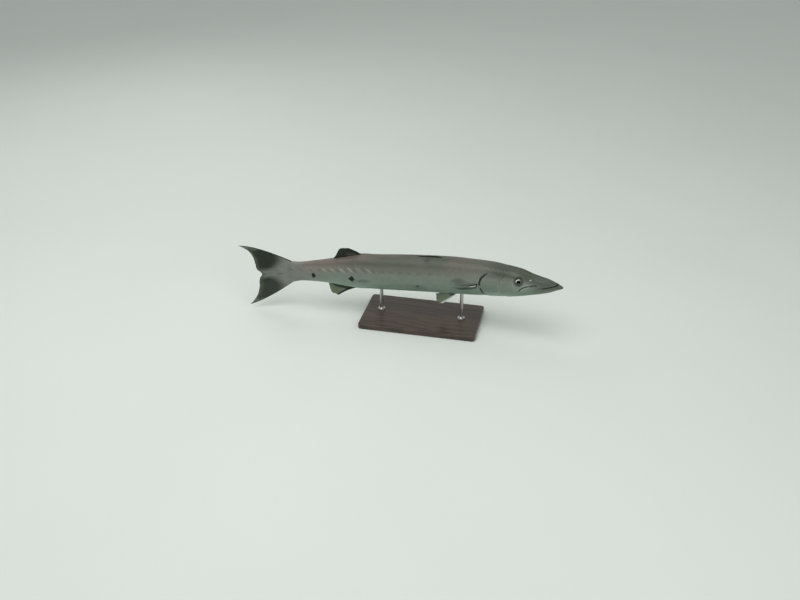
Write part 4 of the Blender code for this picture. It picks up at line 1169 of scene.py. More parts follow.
def makeBodyScales():
    # The roots behind the gill's edge and on the nape, in pieces along the body
    roots, wobble = scaleRoots(scales, bodyScaleGrowth, 11)
    turn = turnAt(roots[:, 0], roots[:, 1])
    keep = (roots[:, 0] > gill["edge"] + scales["clearOfGill"]) | (gillSide(turn) < 0.25)
    roots, wobble = roots[keep], wobble[keep]
    pieces = []
    for label, low, high in scales["pieces"]:
        mine = (roots[:, 0] >= low) & (roots[:, 0] < high)
        pieces.append(growScales("scales" + label, roots[mine], wobble[mine], scales))
    return pieces


def makeCheekScales():
    # The roots on cheek and gill cover, clear of the eye and of the edges of both
    kind = cheekScales
    roots, wobble = scaleRoots(kind, np.ones_like, 12)
    nominal, rise = roots[:, 0], roots[:, 1]
    turn = turnAt(nominal, rise)
    point = bodyPoint(nominal + gillShift(turn) * shiftFade(nominal), turn)
    before, behind = gill["cheekEdge"] - kind["clearOfEdges"], gill["cheekEdge"] + kind["clearOfEdges"]
    cheek = (nominal < before) & (rise > kind["lowest"]) & (rise < kind["cheekTop"])
    cheek &= rise < kind["lowest"] + (nominal - kind["start"]) * kind["frontSlope"]
    cover = (nominal > behind) & (rise > kind["lowest"]) & (rise < kind["coverTop"])
    keep = (distanceOnSkin(point, *head["eye"]) > kind["clearOfEye"]) & (cheek | cover)
    keep &= nominal < gill["edge"] - kind["clearOfGill"]
    return growScales("scalesCheek", roots[keep], wobble[keep], kind)


def makeScaleMaterial():
    # The skin's material with a shade for each scale, a slightly darker free edge and growth rings
    material, tree, sockets, colour = makeSkinMaterial("fishScales", 500.0, 0.00008)
    along, across = readValue(tree, "scaleAlong"), readValue(tree, "scaleAcross")
    colour = addScale(tree, colour, addStep(tree, readValue(tree, "shade"), -2.2, 2.2, 0.93, 1.07))
    local = addNode(tree, "ShaderNodeCombineXYZ", {0: along, 1: across}).outputs[0]
    radius = addVector(tree, "LENGTH", addVector(tree, "ADD", local, (0.12, 0.0, 0.0)), output="Value")
    colour = addScale(tree, colour, addStep(tree, radius, 0.46, 0.64, 1.0, 0.88))
    rings = addMath(tree, "MULTIPLY", addMath(tree, "SINE", addMath(tree, "MULTIPLY", radius, 95.0)), 0.16)
    grain = addNoise(tree, readValue(tree, "place", "Vector"), 900.0, 2.0)
    finish(tree, sockets, colour, (addMath(tree, "ADD", rings, grain), 0.00010, 0.6))
    return material


scaleMaterial = makeScaleMaterial()
for piece in makeBodyScales() + [makeCheekScales()]:
    dress(piece, scaleMaterial, "skin")


# Lateral line

lateral = {
    "start": 0.272, "end": 0.930, "radius": 0.00040, "beads": 84, "steps": 1000, "around": 8,
    "middleRise": 0.50, "frontRise": 0.115, "riseFade": (0.25, 0.62), "above": 0.00004, "tone": 0.10,
}


def makeLateralLine():
    # A thin tube on each side, thicker at each of its pores, that sinks from the gill's upper corner to
    # the middle of the flank
    aft = np.linspace(lateral["start"], lateral["end"], lateral["steps"])
    rise = lateral["middleRise"] + lateral["frontRise"] * (1 - smoothStep(aft, *lateral["riseFade"]))
    turn = turnAt(aft, rise)
    nominal = np.maximum(nominalAft(aft, turn), gill["edge"] + 1e-4)
    base = bodyPoint(aft, turn, swellAt(nominal, turn))
    normal = bodyNormal(aft, turn)
    beside = np.cross(normalised(np.gradient(base, axis=0)), normal)
    phase = (aft - aft[0]) / (aft[-1] - aft[0]) * lateral["beads"]
    starting = smoothStep(aft, aft[0] - 1e-3, aft[0] + 0.004)
    ending = smoothStep(-aft, -aft[-1] - 1e-3, -aft[-1] + 0.006)
    radius = lateral["radius"] * (0.55 + 0.45 * np.abs(np.cos(np.pi * phase)) ** 0.6) * starting * ending
    radius = radius[:, None]
    tube = tubeAround(base + normal * lateral["above"], normal * radius, beside * radius, lateral["around"])
    both = np.concatenate([tube, tube * mirror])
    rows, around = tube.shape[:2]
    faces = gridFaces(rows, around, closed=True)
    faces += [face[::-1] for face in gridFaces(rows, around, closed=True, start=rows * around)]
    share = np.tile(np.repeat(shareOfHeight(turn), around), 2)
    return makePiece("lateralLine", both, faces, share=share, tone=lateral["tone"])


dress(makeLateralLine(), skinMaterial, "skin")


# Eyes

eye = {
    "pupil": 0.0056, "iris": 0.0104, "around": 96, "slopeStep": 0.002,
    "ballRadius": 0.0130, "ballHalfThickness": 0.0080, "sunk": 0.0051, "corneaDepth": 0.0004,
    "rimHalves": (0.001125, 0.000675), "rimAround": 14, "rimSearch": (0.005, 0.0122), "rimOutward": 0.0003,
    "rimShare": 0.30, "rimShade": (0.50, 0.40), "highlightWay": (-0.62, 0.78, 0.0),
    # The iris's painted highlight above and behind the pupil, and its painted shade below and before it
    "paintedHighlight": (
        (0.25, (0.55, 0.56, 0.50)), (0.45, (0.76, 0.77, 0.70)),
        (0.62, (0.86, 0.87, 0.80)), (0.80, (0.90, 0.90, 0.84)),
    ),
    "shadedIris": (
        (0.25, (0.04, 0.05, 0.037)), (0.45, (0.09, 0.105, 0.08)),
        (0.62, (0.13, 0.15, 0.115)), (0.80, (0.17, 0.19, 0.15)),
    ),
    "outerEdge": (0.012, 0.014, 0.010), "black": (0.0, 0.0, 0.0),
}


def corneaHeight(radius):
    # Height over the skin's touching plane of an ellipsoid sunk below it
    share = np.clip(radius / eye["ballRadius"], 0, 1)
    return eye["ballHalfThickness"] * np.sqrt(1 - share ** 2) - eye["sunk"]


def irisProfile():
    # The lens domes up in the pupil, the iris slopes from its edge to under the rim
    lens = np.linspace(0, eye["pupil"], 9)
    slope = np.linspace(eye["pupil"], eye["iris"] + 0.0012, 16)
    lensHeight = 0.00265 - 0.0012 * (lens / eye["pupil"]) ** 2
    share = (slope - eye["pupil"]) / (slope[-1] - eye["pupil"])
    slopeHeight = 0.00150 + 0.0004 * np.sin(np.pi * share) - 0.0034 * share ** 2.2
    back = [(eye["iris"] * 0.8, -0.0060), (0.0, -0.0065)]
    return list(zip(lens, lensHeight)) + list(zip(slope[1:], slopeHeight[1:])) + back


def corneaProfile():
    # A thin shell of the cornea, out from the axis in front and back to it behind
    radius = np.linspace(0, eye["iris"] + 0.0016, 22)
    front = list(zip(radius, corneaHeight(radius)))
    back = list(zip(radius[::-1], corneaHeight(radius[::-1]) - eye["corneaDepth"]))
    return front + back[1:]


def makeRevolved(name, profile, side):
    # A closed shape round the eye's axis, on which the profile starts and ends. The second number of
    # eyePlace runs up on both sides.
    points, flat = revolve(profile, *skinFrame(*head["eye"], side, eye["slopeStep"]), eye["around"])
    rows, around = points.shape[:2]
    count = (rows - 2) * around
    faces = gridFaces(rows - 2, around, closed=True)
    faces += poleFaces(np.arange(around), count, backwards=True)
    faces += poleFaces(np.arange(around) + count - around, count + 1)
    straight, place = (np.concatenate([grid[1:-1].reshape(-1, 3), grid[[0, -1], 0]])
                       for grid in (points, flat))
    values = {"eyePlace": place * np.array([1, -side, 1])}
    return turnOutwards(makeMesh(name, posed(straight), faces, values))


def makeEyeRim(name, side):
    # A round fold laid along the line where the cornea comes out of the skin, which is where the skin
    # first stands higher on the way out from the centre, evened out over its neighbours
    centre, facing, forward = skinFrame(*head["eye"], side, eye["slopeStep"])
    angle = ringAngles(eye["around"])[:, None]
    ring = np.cos(angle) * forward + np.sin(angle) * np.cross(facing, forward)
    radius = np.linspace(*eye["rimSearch"], 120)
    tried = centre + ring[:, None] * radius[:, None]
    onSkin = tried.copy()
    onSkin[..., 1] = side * flankWidth(-tried[..., 0], tried[..., 2])
    crossing = radius[np.argmax(corneaHeight(radius) < (onSkin - centre) @ facing, axis=1)]
    padded = np.concatenate([crossing[-2:], crossing, crossing[:2]])
    crossing = np.convolve(padded, np.array([1, 2, 3, 2, 1]) / 9, mode="valid") + eye["rimOutward"]
    path = centre + ring * crossing[:, None] + facing * corneaHeight(crossing)[:, None]
    wide, high = eye["rimHalves"]
    tube = tubeAround(path, wide * ring, np.broadcast_to(high * facing, ring.shape), eye["rimAround"])

    rows, around = tube.shape[:2]
    faces = gridFaces(rows, around, closed=True)
    here, last = np.arange(around), (rows - 1) * around
    following = np.roll(here, -1)
    faces += np.stack([last + here, last + following, following, here], axis=-1).tolist()
    # Painted shade on the rim, darkest at its rear side
    least, more = eye["rimShade"]
    tone = least + more * np.clip(-np.cos(ringAngles(around)), 0, 1)
    return makePiece(name, tube, faces, share=eye["rimShare"], tone=np.tile(tone, rows))


def makeIrisMaterial():
    # A black pupil, slightly longer towards the snout, in a ring with dark streaks that has a painted
    # highlight above and behind the pupil and painted shade below and before it, and a dark outer edge
    material, tree, sockets = newMaterial("iris", Roughness=0.38, Specular_IOR_Level=0.12)
    offset = addVector(tree, "SUBTRACT", readValue(tree, "eyePlace", "Vector"), (0.0007, 0.0, 0.0))
    squeezed = addStretch(tree, offset, (0.92, 1.0, 0.0))
    radius = addVector(tree, "LENGTH", squeezed, output="Value")
    direction = addVector(tree, "NORMALIZE", squeezed)
    streak = addNoise(tree, addStretch(tree, direction, (9.0, 9.0, 1.0)), 1.6, 4.0, 0.7)
    bright = addVector(tree, "DOT_PRODUCT", direction, eye["highlightWay"], output="Value")
    half = 0.5 * (eye["pupil"] + eye["iris"])
    # bright is where the iris's painted highlight lies
    bright = addMask(tree, (bright, 0.15, 0.72), (radius, half + 0.0014, eye["pupil"] + 0.0010, 0.55, 1.0))
    colour = addMix(tree, bright, addRamp(tree, streak, eye["shadedIris"]), addRamp(tree, streak, eye["paintedHighlight"]))
    pupil = addStep(tree, radius, eye["pupil"] + 0.0001, eye["pupil"] - 0.0002)
    marks = (("outerEdge", ("radius", eye["iris"] - 0.0018, eye["iris"] - 0.0004)), ("black", ("pupil",)))
    colour = addMarks(tree, colour, {"radius": radius, "pupil": pupil}, eye, marks)
    tree.links.new(addProduct(tree, addMath(tree, "SUBTRACT", 1.0, pupil), 0.08), sockets["Metallic"])
    finish(tree, sockets, colour, (streak, 0.0003, 0.5))
    return material


def makeCorneaMaterial():
    # Clear, with a roughness that varies slightly
    material, tree, sockets = newMaterial("cornea", IOR=1.20, Transmission_Weight=1.0)
    grain = addNoise(tree, readValue(tree, "eyePlace", "Vector"), 900.0, 1.0)
    tree.links.new(addStep(tree, grain, 0.0, 1.0, 0.02, 0.06), sockets["Roughness"])
    return material


irisMaterial, corneaMaterial = makeIrisMaterial(), makeCorneaMaterial()
for side, label in ((1, "left"), (-1, "right")):
    dress(makeRevolved("eyeBall." + label, irisProfile(), side), irisMaterial, "eyes", "eye_" + label)
    dress(makeRevolved("cornea." + label, corneaProfile(), side), corneaMaterial, "eyes")
    dress(makeEyeRim("eyeRim." + label, side), skinMaterial, "skin")


# Nostrils

nostril = {
    "profile": (                # radius and height over the nostril's radius, and painted shade in the cup
        (1.75, -0.35, 0.0), (1.45, 0.05, 0.0), (1.18, 0.22, 0.0), (0.95, 0.10, 0.4),
        (0.80, -0.35, 0.9), (0.55, -0.85, 1.0), (0.15, -1.0, 1.0),
    ),
    "around": 20, "slopeStep": 0.001, "share": 0.45,
}


def makeNostrils():
    # A small raised rim round a cup painted dark as shade, for each of the four nostrils
    profile = np.array(nostril["profile"])
    rows, around = len(profile), nostril["around"]
    ring = np.arange(around)
    points, faces = [], []
    for side in (1, -1):
        for aft, up, radius in head["nostrils"]:
            start = len(points) * rows * around
            frameHere = skinFrame(aft, up, side, nostril["slopeStep"])
            points.append(revolve(profile[:, :2] * radius, *frameHere, around)[0])
            faces += gridFaces(rows, around, closed=True, start=start)
            faces += [(start + (rows - 1) * around + ring).tolist(), (start + ring[::-1]).tolist()]
    tone = np.tile(np.repeat(profile[:, 2], around), len(points))
    return makePiece("nostrils", np.concatenate(points), faces, share=nostril["share"], tone=tone)


dress(makeNostrils(), skinMaterial, "skin")


# Fins

finTaper = 1.6
medianSink = 0.0010             # how deep the roots of the fins on the back and belly lie
medianFins = {
    "dorsalFront": {
        "node": "dorsal_fin_front", "above": True, "rays": 5, "rows": 30, "perRay": 20, "lean": 0.50,
        "thickness": (0.0021, 0.0003), "ridge": 0.0007, "root": 0.398, "rootLength": 0.068, "tip": 0.422,
        "tipLength": 0.070, "sweep": 0.0, "sweepSpan": (0.0, 1.0), "height": 0.0046, "rise": 0.0,
        "fall": 0.0022, "fallFrom": 0.0, "bow": 0.12, "notch": 0.30, "split": 0.0, "wave": 0.0004,
    },
    "dorsalRear": {
        "node": "dorsal_fin_rear", "above": True, "rays": 10, "rows": 72, "perRay": 16, "lean": 0.45,
        "thickness": (0.0024, 0.00022), "ridge": 0.0005, "root": 0.679, "rootLength": 0.0965, "tip": 0.716,
        "tipLength": 0.039, "sweep": 0.022, "sweepSpan": (-0.2, 0.5), "height": 0.0225, "rise": 0.0150,
        "fall": 0.0340, "fallFrom": 0.30, "bow": 0.12, "notch": 0.030, "split": 0.17, "wave": 0.0009,
    },
    "anal": {
        "node": "anal_fin", "above": False, "rays": 10, "rows": 72, "perRay": 16, "lean": 0.50,
        "thickness": (0.0024, 0.00022), "ridge": 0.0005, "root": 0.698, "rootLength": 0.104, "tip": 0.772,
        "tipLength": 0.002, "sweep": 0.030, "sweepSpan": (-0.3, 1.0), "height": 0.0335, "rise": 0.0020,
        "fall": 0.0285, "fallFrom": 0.56, "bow": -0.26, "notch": 0.030, "split": 0.17, "wave": 0.0009,
    },
}
tailFin = {
    "rays": 9, "rows": 110, "perRay": 16, "thickness": (0.0015, 0.00022), "ridge": 0.0005,
    "notchAft": 1.0325, "bulgeSpread": 0.12, "stem": 0.0088, "stemLength": 0.13,
    "stemThinning": 0.85, "sink": 0.002, "notch": 0.018, "split": 0.17, "wave": 0.0016,
}
tailLobes = {
    "Upper": {"node": "tail_fin_upper", "side": 1, "root": 0.0390, "spread": 0.1146, "sweep": 0.0482,
              "sweepPower": 4.2, "bulge": 0.0165, "lean": 0.733, "bow": 0.0735},
    "Lower": {"node": "tail_fin_lower", "side": -1, "root": 0.0345, "spread": 0.1120, "sweep": 0.0437,
              "sweepPower": 3.1, "bulge": 0.0120, "lean": 0.645, "bow": 0.0690},
}
pectoralFin = {
    "rays": 12, "rows": 64, "perRay": 12, "thickness": (0.0017, 0.00025), "ridge": 0.0004,
    "endPower": 1.3, "root": (0.2765, -0.0060), "rootSlant": (0.0050, -0.0140),
    "bow": (0.0005, 0.0, 0.0085), "end": (0.3630, -0.0145, 0.0150), "endSlant": (-0.0360, -0.0115, -0.0060),
    "sink": 0.0006, "notch": 0.02, "split": 0.15, "wave": 0.0004,
}
pelvicFin = {
    "rays": 7, "rows": 56, "perRay": 16, "thickness": (0.0015, 0.00025), "ridge": 0.00045,
    "spread": 0.0140, "root": 0.3520, "rootLength": 0.024, "length": 0.0556, "shortening": 0.0036,
    "bulge": 0.090, "steepest": 34.1, "flattest": 3.6, "turnPower": 1.35, "flare": 0.40,
    "bow": (0.008, 0.0006, -0.009), "bowLoss": 0.95, "clearance": 0.00075, "sink": 0.0016,
    "notch": 0.025, "split": 0.16, "wave": 0.0006,
}


def finGrid(fin, seed):
    # Shares along the rays and across them. Between two rays the margin draws back, and here and there
    # it is torn a little.
    columns = fin["perRay"] * (fin["rays"] - 1) + 1
    along, across = np.meshgrid(np.linspace(0, 1, fin["rows"]), np.linspace(0, 1, columns), indexing="ij")
    spacing = across[0] * (fin["rays"] - 1)
    between = np.abs(np.sin(np.pi * spacing * 2)) ** 1.4 * 0.5 + np.abs(np.sin(np.pi * spacing)) * 0.5
    random = np.random.default_rng(seed)
    coarse = random.uniform(0.35, 1.0, fin["rays"] * 4)
    ragged = np.interp(spacing * 4, np.arange(len(coarse)), coarse)
    tears = sum(bell(spacing, random.uniform(1, fin["rays"] - 1), 0.07) for _ in range(3))
    trim = 1 - fin["notch"] * (between * ragged + 0.9 * tears)
    return along * trim, across


def finRidges(fin, along, across):
    # A ridge on each ray, which parts into two and then four towards the margin
    offset = across * (fin["rays"] - 1)
    offset = np.abs(offset - np.round(offset))
    first = fin["split"] * smoothStep(along, 0.32, 0.72)
    second = 0.45 * fin["split"] * smoothStep(along, 0.62, 0.98)
    nearest = np.abs(np.abs(offset - first) - second)
    return bell(nearest, 0, 0.105 - 0.055 * along)


def finThickness(fin, along, ridges):
    # A taper from root to margin, with the rays raised on it
    root, margin = fin["thickness"]
    fade = np.sin(np.pi * np.clip(along * 0.88 + 0.10, 0, 1)) ** 0.6
    joints = 1 - 0.22 * (np.sin(along * 2 * np.pi * 26) > 0.75) * smoothStep(along, 0.25, 0.4)
    return margin + (root - margin) * (1 - along) ** finTaper + fin["ridge"] * ridges * fade * joints


def makeFinSheet(name, fin, along, across, centre, stem=0.0, rootSide=None):
    # Points pushed to both sides of the middle surface along its normal, with a rim of quads round it.
    # The first rows can be pushed along rootSide instead.
    rows, columns = centre.shape[:2]
    ridges = finRidges(fin, along, across)
    normal = normalised(np.cross(np.gradient(centre, axis=0), np.gradient(centre, axis=1)))
    if rootSide is not None:
        share = np.clip(1 - np.arange(rows) / 6, 0, 1)[:, None, None]
        wanted = np.sign(normal @ rootSide)[..., None] * rootSide
        normal = normalised(normal * (1 - share) + wanted * share)
    offset = normal * (finThickness(fin, along, ridges) + stem)[..., None]
    points = np.concatenate([centre + offset, centre - offset])
    other = rows * columns
    faces = gridFaces(rows, columns)
    faces += [face[::-1] for face in gridFaces(rows, columns, start=other)]
    index = np.arange(other).reshape(rows, columns)
    rim = np.concatenate([index[0], index[1:, -1], index[-1, -2::-1], index[-2:0:-1, 0]])
    following = np.roll(rim, -1)
    faces += np.stack([following, rim, other + rim, other + following], axis=-1).tolist()
    along, across, ray = (np.tile(numbers.ravel(), 2) for numbers in (along, across, ridges))
    return makePiece(name, points, faces, along=along, across=across, ray=ray)


def finWave(fin, along, across, seed):
    # A soft waver of the membrane, growing towards the margin
    phase = np.random.default_rng(seed).uniform(0, 2 * np.pi, 2)
    slow = np.sin(across * 7.0 + along * 2.2 + phase[0])
    quick = np.sin(across * (fin["rays"] - 1) * np.pi + phase[1]) * 0.35
    return fin["wave"] * (slow + quick) * along ** 1.5


def makeMedianFin(name, fin, seed):
    # A fin on the back or belly: curved rays from the body's edge to a margin of its own height and sweep
    along, across = finGrid(fin, seed)
    edge = backUp if fin["above"] else bellyUp
    sign = 1 if fin["above"] else -1
    rootAft = fin["root"] + fin["rootLength"] * across
    tipAft = fin["tip"] + fin["tipLength"] * across + fin["sweep"] * smoothStep(across, *fin["sweepSpan"])
    tipHeight = fin["height"] + fin["rise"] * across - fin["fall"] * smoothStep(across, fin["fallFrom"], 1.0)
    root = np.stack([rootAft, edge(rootAft) - sign * medianSink], axis=-1)
    tip = np.stack([tipAft, edge(rootAft) + sign * tipHeight], axis=-1)
    control = root * (1 - fin["lean"]) + tip * fin["lean"]
    control[..., 1] += sign * fin["bow"] * tipHeight
    flat = quadratic(root, control, tip, along)
    centre = np.stack([-flat[..., 0], finWave(fin, along, across, seed), flat[..., 1]], axis=-1)
    return makeFinSheet(name, fin, along, across, centre)


def makeTailLobe(name, lobe, seed):
    # One half of the tail: the longer its rays the further from the middle, and thick at the root, less so
    # towards the leading edge
    fin = tailFin
    along, across = finGrid(fin, seed)
    rootUp = lobe["root"] * across
    bulge = lobe["bulge"] * (1 - bell(across, 0, fin["bulgeSpread"]))
    tipAft = fin["notchAft"] + bulge + lobe["sweep"] * across ** lobe["sweepPower"]
    rootAft = np.full_like(across, body["end"] - fin["sink"])
    root = np.stack([rootAft, rootUp], axis=-1)
    control = np.stack([rootAft + lobe["lean"] * (tipAft - rootAft), rootUp + lobe["bow"] * across], axis=-1)
    tip = np.stack([tipAft, lobe["spread"] * across], axis=-1)
    flat = quadratic(root, control, tip, along)
    wave = finWave(fin, along, across, seed) * smoothStep(across, 0, 0.25)
    centre = np.stack([-flat[..., 0], lobe["side"] * wave, lobe["side"] * flat[..., 1]], axis=-1)
    stem = fin["stem"] * (1 - fin["stemThinning"] * across ** 3)
    stem = stem * np.exp(-along / fin["stemLength"]) * (1 - along)
    return makeFinSheet(name, fin, along, across, centre, stem)


def makePectoral(name, side, seed):
    # Rays from a slanting root behind the gill cover, which lie back along the flank
    fin = pectoralFin
    along, across = finGrid(fin, seed)
    rootAft, rootUp = (fin["root"][k] + fin["rootSlant"][k] * across for k in (0, 1))
    inset = gill["inset"] * (1 - smoothStep(rootAft, gill["edge"], gill["insetEnd"]))
    start = np.stack([rootAft, rootUp, -fin["sink"] - inset * flankWidth(rootAft, rootUp)], axis=-1)
    bend = np.stack([across ** fin["endPower"], across, across], axis=-1)
    end = np.array(fin["end"]) + np.array(fin["endSlant"]) * bend
    path = quadratic(start, start + np.array(fin["bow"]), end, along)
    aft, up, out = path[..., 0], path[..., 1], path[..., 2] + finWave(fin, along, across, seed)
    centre = np.stack([-aft, side * (flankWidth(aft, up) + out), up], axis=-1)
    return makeFinSheet(name, fin, along, across, centre, rootSide=np.array([-1.0, 0.0, 0.0]))


def makePelvic(name, side, seed):
    # Rays from the belly's edge, the first the steepest, which spread outwards as they go down
    fin = pelvicFin
    along, across = finGrid(fin, seed)
    rootAft = fin["root"] + fin["rootLength"] * across
    power = body["squareness"]
    share = (1 - (fin["spread"] / halfWidth(rootAft)) ** power) ** (1 / power)
    rootUp = middleUp(rootAft) - halfDepth(rootAft) * share - fin["clearance"]
    start = np.stack([rootAft, np.full_like(across, fin["spread"]), rootUp + fin["sink"]], axis=-1)
    length = fin["length"] - fin["shortening"] * across + fin["bulge"] * across * (1 - across) ** 2
    angle = np.radians(fin["steepest"] - (fin["steepest"] - fin["flattest"]) * across ** fin["turnPower"])
    drop = length * np.sin(angle)
    end = start + np.stack([length * np.cos(angle), fin["flare"] * drop, -drop - fin["sink"]], axis=-1)
    ones = np.ones_like(across)
    bow = np.stack([ones, ones, 1 - fin["bowLoss"] * across], axis=-1) * np.array(fin["bow"])
    path = quadratic(start, start + bow, end, along)
    outward = path[..., 1] + finWave(fin, along, across, seed)
    centre = np.stack([-path[..., 0], side * outward, path[..., 2]], axis=-1)
    return makeFinSheet(name, fin, along, across, centre)


def makeFinGroup():
    # Colour of a fin: root, middle and margin along the rays, each ray of its own colour, with fine mottling
    inputs = {"Place": "Vector", "Along": "Float", "Ray": "Float"}
    inputs.update({key: "Color" for key in ("Root", "Middle", "Margin", "RayColour")})
    inputs.update({key: "Float" for key in ("RayShare", "RootEnd", "MarginFrom")})
    group, given, result = newGroup("finPattern", inputs, {"Colour": "Color", "Height": "Float"})
    mottle = addNoise(group, given["Place"], 230.0, 4.0, 0.65)
    fine = addNoise(group, given["Place"], 900.0, 2.0)
    shifted = addMath(group, "ADD", given["Along"], addWander(group, mottle, 0.14))
    rootStart = addMath(group, "SUBTRACT", given["RootEnd"], 0.14)
    toMiddle = addStep(group, shifted, rootStart, given["RootEnd"])
    colour = addMix(group, toMiddle, given["Root"], given["Middle"])
    colour = addMix(group, addStep(group, shifted, given["MarginFrom"], 1.02), colour, given["Margin"])
    rays = addProduct(group, addStep(group, given["Ray"], 0.25, 0.8), given["RayShare"])
    colour = addMix(group, rays, colour, given["RayColour"])
    shade = addMask(group, (mottle, 0.2, 0.8, 0.78, 1.22), (fine, 0.2, 0.8, 0.85, 1.15))
    group.links.new(addScale(group, colour, shade), result["Colour"])
    group.links.new(fine, result["Height"])
    return group


finGroup = makeFinGroup()
finPatterns = {
    "dorsalFront": {
        "Root": (0.012, 0.014, 0.010, 1), "Middle": (0.006, 0.007, 0.005, 1),
        "Margin": (0.012, 0.014, 0.010, 1), "RayColour": (0.02, 0.02, 0.016, 1),
        "RayShare": 0.4, "RootEnd": 0.3, "MarginFrom": 0.8,
    },
    "dorsalRear": {
        "Root": (0.050, 0.046, 0.040, 1), "Middle": (0.018, 0.026, 0.016, 1),
        "Margin": (0.036, 0.050, 0.030, 1), "RayColour": (0.012, 0.015, 0.010, 1),
        "RayShare": 0.5, "RootEnd": 0.40, "MarginFrom": 0.7,
    },
    "anal": {
        "Root": (0.025, 0.045, 0.027, 1), "Middle": (0.156, 0.190, 0.127, 1),
        "Margin": (0.200, 0.222, 0.128, 1), "RayColour": (0.088, 0.104, 0.066, 1),
        "RayShare": 0.45, "RootEnd": 0.54, "MarginFrom": 0.78,
    },
    "pelvic": {
        "Root": (0.034, 0.050, 0.034, 1), "Middle": (0.185, 0.225, 0.160, 1),
        "Margin": (0.150, 0.178, 0.122, 1), "RayColour": (0.110, 0.130, 0.088, 1),
        "RayShare": 0.5, "RootEnd": 0.44, "MarginFrom": 0.75,
    },
}
finColours = {
    "edge": (0.006, 0.007, 0.005), "bright": (0.60, 0.64, 0.56),
    "tailBase": (0.222, 0.229, 0.205), "tailMiddle": (0.165, 0.185, 0.150), "tailRay": (0.085, 0.092, 0.072),
    "tailBlack": (0.022, 0.029, 0.021), "tailOlive": (0.086, 0.102, 0.062), "tailTip": (0.150, 0.166, 0.136),
    "tailEdge": (0.008, 0.010, 0.008),
    # dark is the colour of the pectoral fin's painted shade
    "membrane": (0.170, 0.200, 0.165), "pectoralRay": (0.110, 0.128, 0.104), "dark": (0.055, 0.082, 0.066),
    "black": (0.006, 0.010, 0.008), "white": (0.62, 0.66, 0.58),
}
finMarks = {                    # for each mark its colour and the steps of its mask
    "dorsalFront": (),
    "dorsalRear": (("edge", ("across", 0.16, 0.05)), ("edge", ("across", 0.36, 0.62), ("along", 0.44, 0.20))),
    "anal": (("edge", ("across", 0.17, 0.11)),),
    "pelvic": (("bright", ("across", 0.20, 0.13)),),
    "tail": (
        ("tailMiddle", ("aft", 0.93, 1.01)),
        ("tailRay", ("ray", 0.25, 0.8, 0.0, 0.25)),
        ("tailBlack", ("fromPatch", -0.030, 0.022), ("highHere", 0.006, 0.024)),
        ("tailBase", ("up", -0.012, -0.050, 0.0, 0.08)),
        ("tailOlive", ("alongHere", 0.80, 0.93, 0.0, 0.75), ("across", 0.95, 0.70)),
        ("tailBlack", ("along", 0.965, 0.985, 0.0, 0.7), ("across", 0.05, 0.12), ("across", 0.72, 0.50)),
        ("tailTip", ("highHere", 0.084, 0.104, 0.0, 0.85)),
        ("tailEdge", ("across", 0.93, 0.985), ("high", 0.108, 0.098)),
        ("tailBlack", ("fromStreak", 0.0030, 0.0012, 0.0, 0.35), ("aft", 0.950, 0.958),
         ("aft", 0.986, 0.976)),
    ),
    "pectoral": (
        ("pectoralRay", ("ray", 0.25, 0.8, 0.0, 0.6)),
        # The dark lower half is painted shade under the fin
        ("dark", ("acrossHere", 0.30, 0.52, 0.0, 0.92)),
        ("white", ("across", 0.17, 0.23), ("across", 0.50, 0.40), ("along", 0.15, 0.20),
         ("along", 0.60, 0.46)),
        ("black", ("front",), ("along", 0.66, 0.50)),
    ),
}
patchStart = (1.000, 0.968)     # where the tail's black patch begins at the middle and high up
streakUp = -0.0045              # height of the dark streak from the stalk into the tail


def newFinMaterial(name):
    # A fin's material with what the masks read: shares along and across the rays, the ray and the place
    material, tree, sockets = newMaterial(name, Specular_IOR_Level=0.22)
    values = {key: readValue(tree, key) for key in ("along", "across", "ray")}
    return material, tree, sockets, values, readValue(tree, "place", "Vector")


def finishFin(tree, sockets, colour, height):
    # The bump and roughness that all fins share
    finish(tree, sockets, colour, (height, 0.00015, 0.5), (height, 0.2, 0.8, 0.40, 0.56))


def makeFinMaterial(key):
    # The fin pattern in this fin's colours, with its marks over it
    material, tree, sockets, values, place = newFinMaterial(key + "Fin")
    given = {"Place": place, "Along": values["along"], "Ray": values["ray"], **finPatterns[key]}
    painted = addGroup(tree, finGroup, given)
    colour = addMarks(tree, painted["Colour"], values, finColours, finMarks[key])
    finishFin(tree, sockets, colour, painted["Height"])
    return material


def makeTailMaterial():
    # Grey at the base and down the middle, a black patch on each lobe that runs on along the leading
    # edge, an olive inner margin with a thin dark outline, and grey tips
    material, tree, sockets, values, place = newFinMaterial("tailFin")
    mottle, fine = addNoise(tree, place, 60.0, 4.0, 0.6), addNoise(tree, place, 900.0, 2.0)
    wander = addWander(tree, mottle, 0.020)
    aft, _, up = addNode(tree, "ShaderNodeSeparateXYZ", {0: place}).outputs
    high = addMath(tree, "ABSOLUTE", up)
    patchEdge = addStep(tree, high, 0.008, 0.050, *patchStart)
    values.update({
        "aft": aft, "up": up, "high": high, "highHere": addMath(tree, "ADD", high, wander),
        "alongHere": addMath(tree, "ADD", values["along"], wander),
        "fromPatch": addMath(tree, "SUBTRACT", addMath(tree, "ADD", aft, wander), patchEdge),
        "fromStreak": addMath(tree, "ABSOLUTE", addMath(tree, "SUBTRACT", up, streakUp)),
    })
    colour = addMarks(tree, finColours["tailBase"], values, finColours, finMarks["tail"])
    shade = addMask(tree, (mottle, 0.2, 0.8, 0.85, 1.15), (fine, 0.2, 0.8, 0.90, 1.10))
    finishFin(tree, sockets, addScale(tree, colour, shade), fine)
    return material


